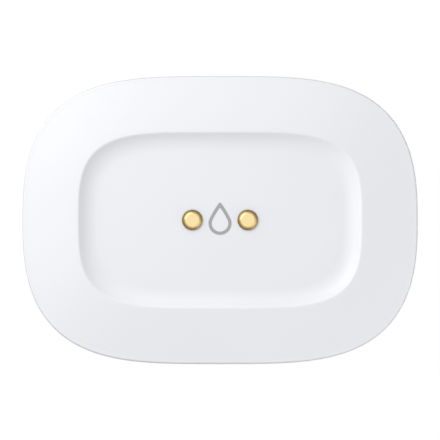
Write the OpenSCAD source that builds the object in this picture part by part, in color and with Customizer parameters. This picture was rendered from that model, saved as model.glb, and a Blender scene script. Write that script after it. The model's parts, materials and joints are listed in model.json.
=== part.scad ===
// Water leak sensor: a pebble-shaped housing that stands on four gold contact feet, with a second pair
// of contacts in the dish on its top, a coin cell behind a bayonet door and a sealed push button.
// Millimetres, +Z up. The origin is on the floor, under the middle of the body.

/* [Body] */
// Length of the body
body_length = 68.6; // [64:0.1:80]
// Width of the body
body_width = 50; // [47:0.1:60]
// Squareness of the outline along its length
outline_exp_x = 3.6; // [3.2:0.05:4.2]
// Squareness of the outline along its width
outline_exp_y = 2.67; // [2.5:0.01:3.2]
// Wall of the cover and of the base
wall = 1.8; // [1.6:0.1:2.1]
// Height of the base, from its underside up to the seam
base_height = 8.6; // [8:0.1:8.8]
// How far the underside is drawn in from the outline
base_tuck = 5; // [4:0.1:5.4]
// Height of the straight land under the seam
seam_land = 0.8; // [0.5:0.1:1.2]
// How far the base stands out past the cover at the seam
reveal = 0.15; // [0.1:0.05:0.4]
// How much the cover narrows from the seam to its edge, so that it leaves its mould
skirt_draft = 0.1; // [0.05:0.05:0.3]
// Radius round the cover's outer edge
edge_radius = 0.45; // [0.3:0.05:0.8]
// Height of the base's tongue, which locates the cover
tongue_height = 2; // [1.5:0.1:2.5]
// Thickness of that tongue
tongue_wall = 1.2; // [1:0.1:1.4]

/* [Dish] */
// Width of the rim, from the outline in to the lip of the dish
rim_width = 9.85; // [9:0.05:10.5]
// Rise of the rim from the outer edge to the lip
rim_rise = 1.1; // [0.8:0.05:1.5]
// Crown of the rim: 1 is a straight slope, and more is rounder
rim_crown = 1.12; // [1:0.02:1.4]
// Depth of the dish below its lip
dish_depth = 1.5; // [1.2:0.05:1.8]
// Width of the dish's curved wall
dish_wall = 3.2; // [2.7:0.1:3.6]
// Squareness of the dish along its length
dish_exp_x = 4.5; // [4:0.1:5.4]
// Squareness of the dish along its width
dish_exp_y = 3.3; // [3:0.1:4]
// Length of the rounding on each side of the lip
lip_round = 0.25; // [0.15:0.05:0.4]

/* [Contacts] */
// Diameter of a contact's head
contact_head_d = 3.5; // [3.2:0.1:4]
// Height of a contact's head
contact_head_h = 0.7; // [0.6:0.05:0.9]
// Rounding of a contact's head
contact_round = 0.45; // [0.3:0.05:0.55]
// Diameter of a contact's shank
contact_shank_d = 2; // [1.8:0.1:2.2]
// Diameter of a contact's tip
contact_tip_d = 1.4; // [1.2:0.1:1.5]
// Length of a contact's tip
contact_tip = 0.6; // [0.4:0.1:0.8]
// Thickness of an O-ring under a contact's head
contact_seal = 0.5; // [0.45:0.01:0.55]
// Diameter of a push ring, which holds a contact from inside
push_ring_d = 4.4; // [4:0.1:4.8]
// Thickness of a push ring
push_ring_t = 0.4; // [0.3:0.05:0.5]
// Spacing of the two contacts in the dish
drip_pitch = 9.6; // [8.5:0.1:11]
// Reach of a drip spring from its foot to the contact's axis
drip_reach = 4; // [3.7:0.1:4.3]
// Distance of the floor contacts from the ends of the body
foot_inset_x = 11; // [10.5:0.1:12]
// Distance of the floor contacts from the sides of the body
foot_inset_y = 12.8; // [12:0.1:13.5]
// Wire of a floor spring
spring_wire = 0.4; // [0.35:0.05:0.45]
// Mean diameter of a floor spring
spring_d = 2.2; // [2.1:0.05:2.4]
// Turns of a floor spring
spring_turns = 5; // [4:1:6]

/* [Battery] */
// Diameter of the coin cell
cell_d = 24.5; // [23:0.1:26]
// Height of the coin cell
cell_h = 7.7; // [7:0.1:8.4]
// Height of the cell's cap above its can
cell_cap_h = 0.6; // [0.4:0.1:0.8]
// Width of the step round the cell's cap
cell_step = 2.4; // [1.8:0.1:3]
// Room round the cell in its bay
cell_room = 0.35; // [0.3:0.05:0.5]
// Thickness of the sheet in the battery springs
leaf_t = 0.25; // [0.2:0.01:0.3]
// Width of the battery springs
leaf_w = 4; // [3:0.1:5]
// Length of a sheet spring's soldered foot
leaf_foot = 1.8; // [1.4:0.1:2.4]
// Length of the flat with which a sheet spring touches
leaf_pad = 1.6; // [1.2:0.1:2]
// Length of a sheet spring's free end
leaf_tail = 1; // [0.8:0.1:1.4]
// Reach of the finger from its foot to the axis of the cell
finger_reach = 8; // [7:0.1:9]
// Height of the clip's touch above the middle of the cell
clip_touch = 2; // [1.7:0.1:2.2]
// Height over which the clip bulges in to the cell
clip_bulge = 0.9; // [0.8:0.1:1]

/* [Door] */
// Thickness of the door's plate
door_t = 2.4; // [2.2:0.1:2.8]
// How far the door lies below the underside
door_recess = 0.1; // [0.05:0.05:0.3]
// Chamfer round the door's face
door_chamfer = 0.3; // [0.2:0.05:0.5]
// Wall of the door's plug
plug_wall = 1; // [0.9:0.1:1.2]
// Reach of a bayonet lug out of the plug
lug_reach = 1.1; // [0.9:0.1:1.3]
// Thickness of a bayonet lug
lug_t = 1.2; // [1:0.1:1.4]
// Arc of a bayonet lug, in degrees
lug_arc = 26; // [20:1:32]
// Number of bayonet lugs
lug_count = 3; // [2:1:3]
// Thickness of the ledges that the lugs hook over
ledge_t = 1; // [0.8:0.1:1.2]
// Turn that opens the door, in degrees
door_turn = 40; // [36:1:46]
// Rim of the door outside its lugs
door_rim = 0.6; // [0.5:0.1:0.9]
// Thickness of the door's O-ring
door_seal_t = 0.8; // [0.7:0.05:0.9]
// Wall of the collar round the door
collar_wall = 1.5; // [1.2:0.1:1.8]
// Radius of the coin that turns the door
coin_radius = 16; // [12:0.5:18]
// Width of the coin slot
slot_width = 2; // [1.8:0.1:2.4]
// Depth of the coin slot
slot_depth = 1.2; // [0.9:0.1:1.4]

/* [Board] */
// Thickness of the circuit board
board_t = 1.2; // [1:0.1:1.6]
// Room between the cell and the board
finger_room = 1; // [0.9:0.1:1.3]
// Room between the board and the ceiling of the cover
component_room = 2.5; // [2.3:0.1:3]
// Gap between the board's edge and the cover
board_gap = 0.8; // [0.5:0.1:1.2]
// Length of the radio module
radio_length = 15; // [14:0.5:16]
// Width of the radio module
radio_width = 11; // [10:0.5:12]
// Height of the radio's shield above the module
shield_h = 1.3; // [1:0.1:1.5]
// Grid on which the small parts of the board stand
part_pitch = 2; // [1.9:0.05:2.2]

/* [Button] */
// Diameter of the button
button_d = 5.8; // [5.4:0.1:6.2]
// How far the button lies below the underside
button_recess = 0.4; // [0.3:0.05:0.6]
// Travel of the button
button_travel = 0.3; // [0.2:0.05:0.4]
// Length of the button's cap
button_cap = 3.1; // [2.8:0.1:3.4]
// Reach of the flange that keeps the button in
button_flange = 0.7; // [0.5:0.1:0.9]
// Diameter of the button's stem
button_stem_d = 3; // [2.6:0.1:3.4]
// Thickness of the button's O-ring
button_seal_t = 0.7; // [0.6:0.05:0.8]
// Wall of the tube that guides the button
button_tube_wall = 1.3; // [1:0.1:1.5]
// Side of the square switch body
switch_w = 6; // [5.5:0.1:6.5]
// Height of the switch body
switch_h = 3.5; // [3.2:0.1:3.8]
// Diameter of the switch's plunger
plunger_d = 3.4; // [3:0.1:3.6]
// Height of the plunger out of the switch body
plunger_h = 1.1; // [0.9:0.1:1.3]

/* [Screws] */
// Diameter of a case screw's shank
screw_d = 2.2; // [2:0.1:2.4]
// Diameter of a case screw's head
screw_head_d = 3.8; // [3.4:0.1:4]
// Height of a case screw's head
screw_head_h = 1.5; // [1.2:0.1:1.7]
// Depth of the screw heads' seats above the underside
screw_seat = 4.3; // [3.8:0.1:4.8]
// Length of screw in the cover's boss
screw_bite = 2.8; // [2.4:0.1:3]
// Wall of the screw posts and bosses
post_wall = 1; // [0.9:0.1:1.2]
// Distance of the screws from the ends of the body
screw_inset_x = 16.8; // [16:0.1:17.5]
// Distance of the screws from the sides of the body
screw_inset_y = 8.8; // [8.4:0.1:9.2]

/* [Clearances] */
// Gap of pieces that fit snugly
snug = 0.04; // [0.02:0.01:0.06]
// Gap of pieces that move or drop in
slip = 0.12; // [0.1:0.01:0.18]

/* [Hidden] */
$fn = 64;
ring_points = 80;   // points round one ring of the outline
wire_sides = 6;     // sides of a spring's wire
turn_rings = 8;     // rings in one turn of a spring
overlap = 0.5;      // how far a fused piece runs into its neighbour
seal_groove_w = 1;  // groove of the case seal
seal_groove_h = 0.8;
seam_chamfer = 0.15;
tube_over = 1;      // how far the button's tube runs past the pressed button
guide_below = 1;    // how far the cell's guide stops below the top of the cell
clip_pad = 0.4;     // flat of the clip on the cell
leaf_bend = 0.4;    // bend of the clip under the board

// Heights, from the floor up through the stack of pieces
z_under = contact_head_h;                      // underside of the base
z_inside = z_under + wall;                     // inner floor of the base
z_seam = z_under + base_height;                // seam between base and cover
z_door = z_under + door_recess;                // outer face of the door
z_plate = z_door + door_t;                     // inner face of the door's plate
z_cell = z_plate + slip;                       // bottom of the coin cell
z_board = z_cell + cell_h + finger_room;       // underside of the circuit board
z_board_top = z_board + board_t;
z_ceiling = z_board_top + component_room;      // flat ceiling under the dish
z_dish = z_ceiling + wall;                     // floor of the dish
z_lip = z_dish + dish_depth;                   // lip of the dish, the top of the body
z_edge = z_lip - rim_rise;                     // outer edge of the rim

// Places in plan
foot_x = body_length / 2 - foot_inset_x;
foot_y = body_width / 2 - foot_inset_y;
screw_x = body_length / 2 - screw_inset_x;
screw_y = body_width / 2 - screw_inset_y;
corners = [for (sx = [-1, 1], sy = [-1, 1]) [sx, sy]];

// Radii of the battery door and its bay, from the cell outwards
bay_r = cell_d / 2 + cell_room;
plug_r = bay_r + plug_wall;
lug_r = plug_r + lug_reach;
door_r = lug_r + door_rim;
collar_r = door_r + slip + collar_wall;
z_shoulder = z_plate + slip;
z_ledge = z_shoulder + ledge_t;
z_lug = z_ledge + slip;
z_plug = z_lug + lug_t;
z_groove = z_plug + slip;
z_collar = z_groove + collar_wall;
lug_play = 1.5;                                // degrees of play at each end of a lug's groove

// Heights and radii of the push button, from the switch on the board down to the underside
button_r = button_d / 2;
flange_r = button_r + button_flange;
tube_r = flange_r + slip + button_tube_wall;
button_x = collar_r + tube_r - button_tube_wall / 2;   // the tube and the collar share a wall
z_button = z_under + button_recess;
z_flange = z_button + button_cap;
z_switch = z_board - switch_h;
z_plunger = z_switch - plunger_h;
z_tube = z_flange + button_flange + button_travel + tube_over;

// Insets of the seam, from the outline inwards
skirt_in = reveal + wall;
tongue_out = skirt_in + slip;
tongue_in = tongue_out + tongue_wall;
groove_out = reveal + (wall - seal_groove_w) / 2;
groove_in = groove_out + seal_groove_w;

function lerp(a, b, t) = a + (b - a) * t;
function signed_pow(v, e) = sign(v) * pow(abs(v), e);
function along(from, to, steps) = [for (k = [0 : steps]) lerp(from, to, k / steps)];

// One closed ring of the body's outline, drawn in by inset, at height z.
// It is a superellipse that grows squarer from the outline to the lip of the dish.
function ring(inset, z) =
    let (t = min(1, max(0, inset / rim_width)),
         ex = 2 / lerp(outline_exp_x, dish_exp_x, t),
         ey = 2 / lerp(outline_exp_y, dish_exp_y, t))
    [for (i = [0 : ring_points - 1])
        let (a = 360 * i / ring_points)
        [(body_length / 2 - inset) * signed_pow(cos(a), ex),
         (body_width / 2 - inset) * signed_pow(sin(a), ey),
         z]];

function rings(profile) = [for (p = profile) ring(p[0], p[1])];

// Triangles between ring a and ring b of n points each, facing out
function side_faces(a, b, n) =
    [for (i = [0 : n - 1])
        let (j = (i + 1) % n)
        each [[a * n + i, b * n + i, b * n + j], [a * n + i, b * n + j, a * n + j]]];

// Closed solid through a list of rings, capped at both ends
module skin(list) {
    n = len(list[0]);
    last = len(list) - 1;
    polyhedron(
        points = [for (r = list) each r],
        faces = concat(
            [for (k = [0 : last - 1]) each side_faces(k, k + 1, n)],
            [[for (i = [0 : n - 1]) i]],
            [[for (i = [n - 1 : -1 : 0]) last * n + i]]),
        convexity = 8);
}

// Closed band that follows the outline, from a closed profile of [inset, z]
module band(profile) {
    list = rings(profile);
    n = ring_points;
    count = len(list);
    polyhedron(
        points = [for (r = list) each r],
        faces = [for (k = [0 : count - 1]) each side_faces(k, (k + 1) % count, n)],
        convexity = 8);
}

module o_ring(mean_r, section) {
    rotate_extrude() translate([mean_r, 0]) circle(d = section);
}

// Sector of a ring, centred on an angle
module sector(r_in, r_out, height, centre, arc) {
    rotate([0, 0, centre - arc / 2])
        rotate_extrude(angle = arc)
            translate([r_in, 0]) square([r_out - r_in, height]);
}

// Strip of sheet bent along a path in X and Z, with its width along Y
function normal_at(path, i) =
    let (a = path[max(i - 1, 0)], b = path[min(i + 1, len(path) - 1)], d = (b - a) / norm(b - a))
    [-d[1], d[0]];
module leaf(path, width) {
    left = [for (i = [0 : len(path) - 1]) path[i] + normal_at(path, i) * leaf_t / 2];
    right = [for (i = [len(path) - 1 : -1 : 0]) path[i] - normal_at(path, i) * leaf_t / 2];
    rotate([90, 0, 0])
        linear_extrude(height = width, center = true)
            polygon(concat(left, right));
}

// Path of a sheet spring in X and Z: a foot, a slope to the flat that touches at x 0, and a free end
function finger_path(reach, z_foot, z_touch) = [
    [-reach, z_foot], [-reach + leaf_foot, z_foot], [-leaf_pad / 2, z_touch], [leaf_pad / 2, z_touch],
    [leaf_pad / 2 + leaf_tail, lerp(z_foot, z_touch, 0.5)]];

// Inset at which the rim starts, inside the rounded edge
edge_out = reveal + skirt_draft;
edge_in = edge_out + edge_radius;

// Top of the rim at an inset from the outline
function rim_z(inset) =
    z_lip - rim_rise * pow((rim_width - inset) / (rim_width - edge_in), rim_crown);

// Point of the dish's wall, an arc that runs level into the floor; angle 0 is the floor
dish_angle = 2 * atan(dish_depth / dish_wall);
dish_radius = dish_wall / sin(dish_angle);
function dish_point(angle) = [
    rim_width + dish_wall - dish_radius * sin(angle),
    z_dish + dish_radius * (1 - cos(angle))];

// Rounded lip, a curve that leaves the rim and joins the dish's wall
lip_from = [rim_width - lip_round, rim_z(rim_width - lip_round)];
lip_angle = dish_angle - lip_round / dish_radius * 180 / PI;
lip_to = dish_point(lip_angle);
lip_mid = [rim_width, z_lip];
function lip_point(t) =
    lip_from * (1 - t) * (1 - t) + lip_mid * 2 * t * (1 - t) + lip_to * t * t;

// Profile of the cover, as [inset, z], from the flat ceiling round the skirt to the floor of the dish
cover_profile = concat(
    [[rim_width + dish_wall - wall / 3, z_ceiling], [rim_width - wall / 2, z_lip - wall]],
    [for (inset = along(rim_width - 2 * wall, skirt_in + edge_radius, 2)) [inset, rim_z(inset) - wall]],
    [for (a = along(30, 90, 2))
        [skirt_in + edge_radius * (1 - sin(a)), z_edge - wall - edge_radius * (1 - cos(a))]],
    [[skirt_in, z_seam], [reveal, z_seam]],
    [for (a = along(90, 0, 4))
        [edge_out + edge_radius * (1 - sin(a)), z_edge - edge_radius * (1 - cos(a))]],
    [for (inset = along(edge_in, rim_width - lip_round, 4)) if (inset > edge_in) [inset, rim_z(inset)]],
    [for (t = [1 / 3, 2 / 3]) lip_point(t)],
    [for (a = along(lip_angle, 0, 5)) dish_point(a)]);

// Profile of the base, from the flat underside round the flange and tongue to the inner floor
base_rise = base_height - seam_land;
inner_rise = base_rise - wall;
inner_tuck = base_tuck + wall / 3;
base_profile = concat(
    [for (a = along(0, 90, 6)) [base_tuck * (1 - sin(a)), z_under + base_rise * (1 - cos(a))]],
    [[0, z_seam - seam_chamfer], [seam_chamfer, z_seam]],
    [[groove_out, z_seam], [groove_out, z_seam - seal_groove_h]],
    [[groove_in, z_seam - seal_groove_h], [groove_in, z_seam]],
    [[tongue_out, z_seam], [tongue_out, z_seam + tongue_height], [tongue_in, z_seam + tongue_height]],
    [for (a = along(90, 0, 3))
        [lerp(inner_tuck, tongue_in, sin(a)), z_inside + inner_rise * (1 - cos(a))]]);

// Cover with the dish, its screw bosses, and the seats of the two drip contacts
module top_cover() {
    color("#f3f5f9")
    difference() {
        union() {
            skin(rings(cover_profile));
            for (c = corners)
                translate([c[0] * screw_x, c[1] * screw_y, z_board_top])
                    cylinder(d = screw_d + 2 * (post_wall + snug), h = z_lip - wall + overlap - z_board_top);
        }
        for (c = corners)
            translate([c[0] * screw_x, c[1] * screw_y, z_board_top - overlap])
                cylinder(d = screw_d + 2 * snug, h = screw_bite + slip + overlap);
        for (sx = [-1, 1])
            translate([sx * drip_pitch / 2, 0, z_dish])
                contact_seat();
        // thinned wall, through which the light shows
        translate([0, 0, z_ceiling - overlap])
            cylinder(d = contact_head_d, h = wall / 2 + overlap);
    }
}

// Hole for a contact, with the counterbore of its O-ring. The wall's outer face is at z 0.
module contact_seat() {
    translate([0, 0, -wall - overlap]) cylinder(d = contact_shank_d + 2 * snug, h = wall + 2 * overlap);
    translate([0, 0, -contact_seal - snug])
        cylinder(d = contact_shank_d + 2 * contact_seal + 4 * snug, h = contact_seal + snug + overlap);
}

// Base tray with the collar of the door, the cell's guide, the screw posts and the button's tube
module base() {
    color("#efefec")
    difference() {
        union() {
            skin(rings(base_profile));
            translate([0, 0, z_inside - overlap]) cylinder(r = collar_r, h = z_collar - z_inside + overlap);
            translate([0, 0, z_collar - overlap])
                cylinder(r = bay_r + collar_wall, h = z_cell + cell_h - guide_below - z_collar + overlap);
            for (c = corners)
                translate([c[0] * screw_x, c[1] * screw_y, z_inside - overlap])
                    cylinder(d = screw_head_d + 2 * (post_wall + slip), h = z_board - z_inside + overlap);
            translate([button_x, 0, z_inside - overlap])
                cylinder(r = tube_r, h = z_tube - z_inside + overlap);
        }
        battery_bay();
        for (c = corners) {
            translate([c[0] * screw_x, c[1] * screw_y, z_under - overlap]) {
                cylinder(d = screw_head_d + 2 * slip, h = screw_seat + overlap);
                cylinder(d = screw_d + 2 * slip, h = z_board - z_under + 2 * overlap);
            }
            translate([c[0] * foot_x, c[1] * foot_y, z_under]) mirror([0, 0, 1]) contact_seat();
        }
        translate([button_x, 0, 0]) button_bore();
        // slot for the positive clip in the cell's guide
        translate([-bay_r - collar_wall, 0, z_collar + overlap + cell_h / 2])
            cube([3 * collar_wall, leaf_w + 4 * slip, cell_h], center = true);
    }
}

// Stepped bore of the door and the cell, with the grooves and entries of the bayonet lugs
module battery_bay() {
    rotate_extrude()
        polygon([
            [0, z_under - overlap], [door_r + slip, z_under - overlap], [door_r + slip, z_shoulder],
            [plug_r + slip, z_shoulder], [plug_r + slip, z_groove], [bay_r, z_groove],
            [bay_r, z_board], [0, z_board]]);
    for (k = [0 : lug_count - 1]) {
        turn = lug_angle(k);
        // groove in which the lug turns
        translate([0, 0, z_ledge])
            sector(plug_r, lug_r + slip, z_groove - z_ledge, turn - door_turn / 2,
                lug_arc + door_turn + 2 * lug_play);
        // entry through which the lug comes in
        translate([0, 0, z_shoulder - overlap])
            sector(plug_r, lug_r + slip, ledge_t + 2 * overlap, turn - door_turn, lug_arc + 2 * lug_play);
    }
}
function lug_angle(k) = 90 + 360 * k / lug_count;

module button_bore() {
    rotate_extrude()
        polygon([
            [0, z_under - overlap], [button_r + slip, z_under - overlap], [button_r + slip, z_flange - snug],
            [flange_r + slip, z_flange - snug], [flange_r + slip, z_tube + overlap], [0, z_tube + overlap]]);
}

// Silicone seal in the groove of the base, flush with the seam
module case_seal() {
    color("#9fa3a6")
    band([
        [groove_out + snug, z_seam - seal_groove_h + snug], [groove_out + snug, z_seam],
        [groove_in - snug, z_seam], [groove_in - snug, z_seam - seal_groove_h + snug]]);
}

// Pan-head screws from the underside, through the board into the cover's bosses
module case_screws() {
    z_seat = z_under + screw_seat;
    color("#b9bcc0")
    for (c = corners)
        translate([c[0] * screw_x, c[1] * screw_y, z_seat])
            difference() {
                union() {
                    cylinder(d = screw_d, h = z_board_top + screw_bite - z_seat);
                    translate([0, 0, -screw_head_h]) cylinder(d = screw_head_d, h = screw_head_h);
                }
                // cross recess
                for (a = [0, 90])
                    rotate([0, 0, a])
                        translate([0, 0, -screw_head_h])
                            cube([screw_d, screw_d / 4, screw_head_h], center = true);
            }
}

// Contact with a rounded flat head above z 0 and a stepped shank below it
contact_below = wall + 2 * push_ring_t;
module contact() {
    head_r = contact_head_d / 2;
    color("#d9b25c")
    rotate_extrude() {
        square([head_r, contact_head_h - contact_round]);
        square([head_r - contact_round, contact_head_h]);
        translate([head_r - contact_round, contact_head_h - contact_round])
            intersection() {
                circle(r = contact_round);
                square(contact_round);
            }
        translate([0, -contact_below]) square([contact_shank_d / 2, contact_below]);
        translate([0, -contact_below - contact_tip]) square([contact_tip_d / 2, contact_tip]);
    }
}
module drip_contact(side) {
    translate([side * drip_pitch / 2, 0, z_dish]) contact();
}
module floor_contact(side_x, side_y) {
    translate([side_x * foot_x, side_y * foot_y, z_under]) mirror([0, 0, 1]) contact();
}

// Places a child, drawn for a wall whose outer face is at z 0, at every contact
module at_contacts() {
    for (sx = [-1, 1])
        translate([sx * drip_pitch / 2, 0, z_dish]) children();
    for (c = corners)
        translate([c[0] * foot_x, c[1] * foot_y, z_under]) mirror([0, 0, 1]) children();
}

module contact_seals() {
    color("#3a3c3f")
    at_contacts()
        translate([0, 0, -contact_seal / 2])
            o_ring(contact_shank_d / 2 + contact_seal / 2 + snug, contact_seal);
}

module contact_push_rings() {
    color("#c4c6c9")
    at_contacts()
        translate([0, 0, -wall - push_ring_t])
            difference() {
                cylinder(d = push_ring_d, h = push_ring_t);
                translate([0, 0, -overlap])
                    cylinder(d = contact_shank_d + 2 * snug, h = push_ring_t + 2 * overlap);
            }
}

// Leaf springs on the board that reach up to the tips of the drip contacts
module drip_springs() {
    z_foot = z_board_top + leaf_t / 2;
    z_tip = z_dish - contact_below - contact_tip - leaf_t / 2 - snug;
    color("#c9a866")
    for (sx = [-1, 1])
        translate([sx * drip_pitch / 2, 0, 0])
            mirror([sx > 0 ? 1 : 0, 0, 0])
                leaf(finger_path(drip_reach, z_foot, z_tip), contact_tip_d);
}

// Coil springs that join the floor contacts to pads under the board
spring_from = z_under + contact_below + spring_wire / 2 + snug;
spring_to = z_board - spring_wire / 2 - snug;
function coil_point(t) = [
    spring_d / 2 * cos(360 * spring_turns * t),
    spring_d / 2 * sin(360 * spring_turns * t),
    lerp(spring_from, spring_to, t)];
function coil_tangent(t) =
    let (d = [
        -PI * spring_d * spring_turns * sin(360 * spring_turns * t),
        PI * spring_d * spring_turns * cos(360 * spring_turns * t),
        spring_to - spring_from])
    d / norm(d);
function coil_ring(t) =
    let (p = coil_point(t), out = [p[0], p[1], 0] / norm([p[0], p[1], 0]), up = cross(coil_tangent(t), out))
    [for (i = [0 : wire_sides - 1])
        let (a = 360 * i / wire_sides)
        p + spring_wire / 2 * (cos(a) * out + sin(a) * up)];
coil_steps = spring_turns * turn_rings;
echo("least gap between turns of a floor spring",
    min([for (k = [0 : coil_steps - turn_rings])
        norm(coil_point((k + turn_rings) / coil_steps) - coil_point(k / coil_steps))]) - spring_wire);
module floor_springs() {
    color("#c4c6c9")
    for (c = corners)
        translate([c[0] * foot_x, c[1] * foot_y, 0])
            skin([for (k = [0 : coil_steps]) coil_ring(k / coil_steps)]);
}

// Circuit board, held between the base's posts and the cover's bosses
module main_board() {
    color("#2f6b46")
    difference() {
        translate([0, 0, z_board])
            linear_extrude(height = board_t)
                polygon([for (p = ring(skirt_in + board_gap, 0)) [p[0], p[1]]]);
        for (c = corners)
            translate([c[0] * screw_x, c[1] * screw_y, z_board - overlap])
                cylinder(d = screw_d + 2 * slip, h = board_t + 2 * overlap);
    }
}

// Radio module on the left of the board: its carrier, shield and antenna
radio_x = -body_length / 2 + skirt_in + board_gap + radio_width;
radio_carrier_t = 0.6;
antenna_d = 1.6;
module radio_module() {
    color("#274f7a")
    translate([radio_x, 0, z_board_top + radio_carrier_t / 2])
        cube([radio_width, radio_length, radio_carrier_t], center = true);
}
module radio_shield() {
    shield_margin = 0.6;
    shield_width = radio_width - 2 * shield_margin;
    shield_length = radio_length - antenna_d - 3 * shield_margin;
    color("#b4b7ba")
    translate([radio_x, -antenna_d / 2 - shield_margin / 2, z_board_top + radio_carrier_t]) {
        translate([0, 0, shield_h / 2]) cube([shield_width, shield_length, shield_h], center = true);
    }
}
module chip_antenna() {
    antenna_w = 6;
    antenna_h = 1;
    color("#e2e4e6")
    translate([radio_x, radio_length / 2 - antenna_d, z_board_top + radio_carrier_t + antenna_h / 2])
        cube([antenna_w, antenna_d, antenna_h], center = true);
}

module status_led() {
    led = [1.6, 0.8, 0.6];
    color("#f6f3d8")
    translate([0, 0, z_board_top + led[2] / 2]) cube(led, center = true);
}

// Chip capacitors, resistors and regulators on the top of the board, as [column, row, size] on its grid
chip = [1.6, 0.8, 0.7];
regulator = [3, 1.7, 1.2];
module board_components() {
    rows = [
        [4, 3, regulator], [6.5, 3, chip], [6.5, 2, chip], [6.5, 1, chip],
        [4, -3, chip], [5.5, -3, chip], [7, -3, chip], [8.5, -1.5, regulator], [8.5, 1.5, chip],
        [-3, 3, chip], [-3, 4, chip], [-3, -3, chip], [-3, -4, chip]];
    color("#4a4640")
    for (r = rows)
        translate([r[0] * part_pitch, r[1] * part_pitch, z_board_top + r[2][2] / 2])
            cube(r[2], center = true);
}

// Square switch under the board, whose plunger points down at the button
module connect_switch() {
    color("#2b2c2e")
    difference() {
        translate([button_x - switch_w / 2, -switch_w / 2, z_switch]) cube([switch_w, switch_w, switch_h]);
        translate([button_x, 0, z_switch - overlap])
            cylinder(d = plunger_d + 2 * slip, h = button_travel + slip + 2 * overlap);
    }
}
module switch_plunger() {
    color("#55585c")
    translate([button_x, 0, z_plunger]) cylinder(d = plunger_d, h = plunger_h + overlap);
}

// Push button with a sealing groove, a flange that keeps it in and a stem up to the switch
z_button_groove = z_button + (button_cap - button_seal_t) / 2;
module connect_button() {
    groove_floor = button_r - button_seal_t + slip;
    chamfer = 0.3;
    color("#d5d7da")
    translate([button_x, 0, 0])
        rotate_extrude()
            polygon([
                [0, z_button], [button_r - chamfer, z_button], [button_r, z_button + chamfer],
                [button_r, z_button_groove], [groove_floor, z_button_groove],
                [groove_floor, z_button_groove + button_seal_t], [button_r, z_button_groove + button_seal_t],
                [button_r, z_flange], [flange_r, z_flange], [flange_r, z_flange + button_flange],
                [button_stem_d / 2, z_flange + button_flange], [button_stem_d / 2, z_plunger - snug],
                [0, z_plunger - snug]]);
}
module button_seal() {
    section = button_seal_t - 2 * snug;
    color("#3a3c3f")
    translate([button_x, 0, z_button_groove + button_seal_t / 2])
        o_ring(button_r + slip - snug - section / 2, section);
}

// Coin cell: the can with its rounded edge, and the smaller cap that faces the board
module coin_cell() {
    edge = 0.6;
    can_h = cell_h - cell_cap_h;
    color("#c9ccd0")
    translate([0, 0, z_cell])
        rotate_extrude() {
            square([cell_d / 2 - edge, can_h]);
            translate([0, edge]) square([cell_d / 2, can_h - 2 * edge]);
            for (z = [edge, can_h - edge])
                translate([cell_d / 2 - edge, z]) circle(r = edge);
            square([cell_d / 2 - cell_step, cell_h]);
        }
}

// Spring strip that presses on the side of the can and turns out under the board
module positive_clip() {
    x_can = -cell_d / 2 - leaf_t / 2 - snug;
    x_back = -bay_r - leaf_t;
    z_foot = z_board - leaf_t / 2;
    z_touch = z_cell + cell_h / 2 + clip_touch;
    color("#c4c6c9")
    leaf([[x_back - leaf_bend - leaf_foot, z_foot], [x_back - leaf_bend, z_foot],
        [x_back, z_foot - leaf_bend], [x_back, z_touch + clip_pad / 2 + clip_bulge],
        [x_can, z_touch + clip_pad / 2], [x_can, z_touch - clip_pad / 2],
        [x_back, z_touch - clip_pad / 2 - clip_bulge]], leaf_w);
}

// Spring finger from the board down to the cap of the cell
module negative_finger() {
    z_foot = z_board - leaf_t / 2;
    z_touch = z_cell + cell_h + leaf_t / 2 + snug;
    color("#c4c6c9")
    leaf(finger_path(finger_reach, z_foot, z_touch), leaf_w);
}

// Door: a plate with a coin slot and an O-ring groove, and a plug ring that carries the bayonet lugs
z_seal_groove = z_door + (door_t - door_seal_t) / 2;
seal_floor = door_r - door_seal_t + slip;
module battery_door() {
    color("#efefec")
    difference() {
        union() {
            rotate_extrude()
                polygon([
                    [0, z_door], [door_r - door_chamfer, z_door], [door_r, z_door + door_chamfer],
                    [door_r, z_seal_groove], [seal_floor, z_seal_groove],
                    [seal_floor, z_seal_groove + door_seal_t], [door_r, z_seal_groove + door_seal_t],
                    [door_r, z_plate], [plug_r, z_plate], [plug_r, z_plug], [bay_r, z_plug],
                    [bay_r, z_plate], [0, z_plate]]);
            for (k = [0 : lug_count - 1])
                translate([0, 0, z_lug])
                    sector(plug_r - plug_wall / 2, lug_r, lug_t, lug_angle(k), lug_arc);
        }
        translate([0, 0, z_door + slot_depth - coin_radius])
            rotate([90, 0, 0]) cylinder(r = coin_radius, h = slot_width, center = true);
    }
}
module door_seal() {
    section = door_seal_t - 2 * snug;
    color("#3a3c3f")
    translate([0, 0, z_seal_groove + door_seal_t / 2])
        o_ring(door_r + slip - snug - section / 2, section);
}

top_cover();
base();
case_seal();
case_screws();
drip_contact(-1);  // drip_contact_left
drip_contact(1);  // drip_contact_right
floor_contact(-1, -1);  // floor_contact_front_left
floor_contact(1, -1);  // floor_contact_front_right
floor_contact(-1, 1);  // floor_contact_rear_left
floor_contact(1, 1);  // floor_contact_rear_right
contact_seals();
contact_push_rings();
drip_springs();
floor_springs();
main_board();
radio_module();
radio_shield();
chip_antenna();
status_led();
board_components();
connect_switch();
switch_plunger();
connect_button();
button_seal();
coin_cell();
positive_clip();
negative_finger();
battery_door();
door_seal();
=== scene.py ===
# %% [markdown]
# # A water leak sensor
# A pebble of white plastic that lies on the floor and reports a puddle. Four gold contacts are its feet,
# and two more sit in a shallow dish on its top, so that it also feels a drip from above. A round door in
# the underside holds the coin cell in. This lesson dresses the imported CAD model: pieces whose surfaces
# matter are worked out as smooth meshes with numpy, and the others keep their CAD meshes and get a finish.
# The frame comes first, because every piece takes its place from it.

# %% Load the frame
import json

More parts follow.
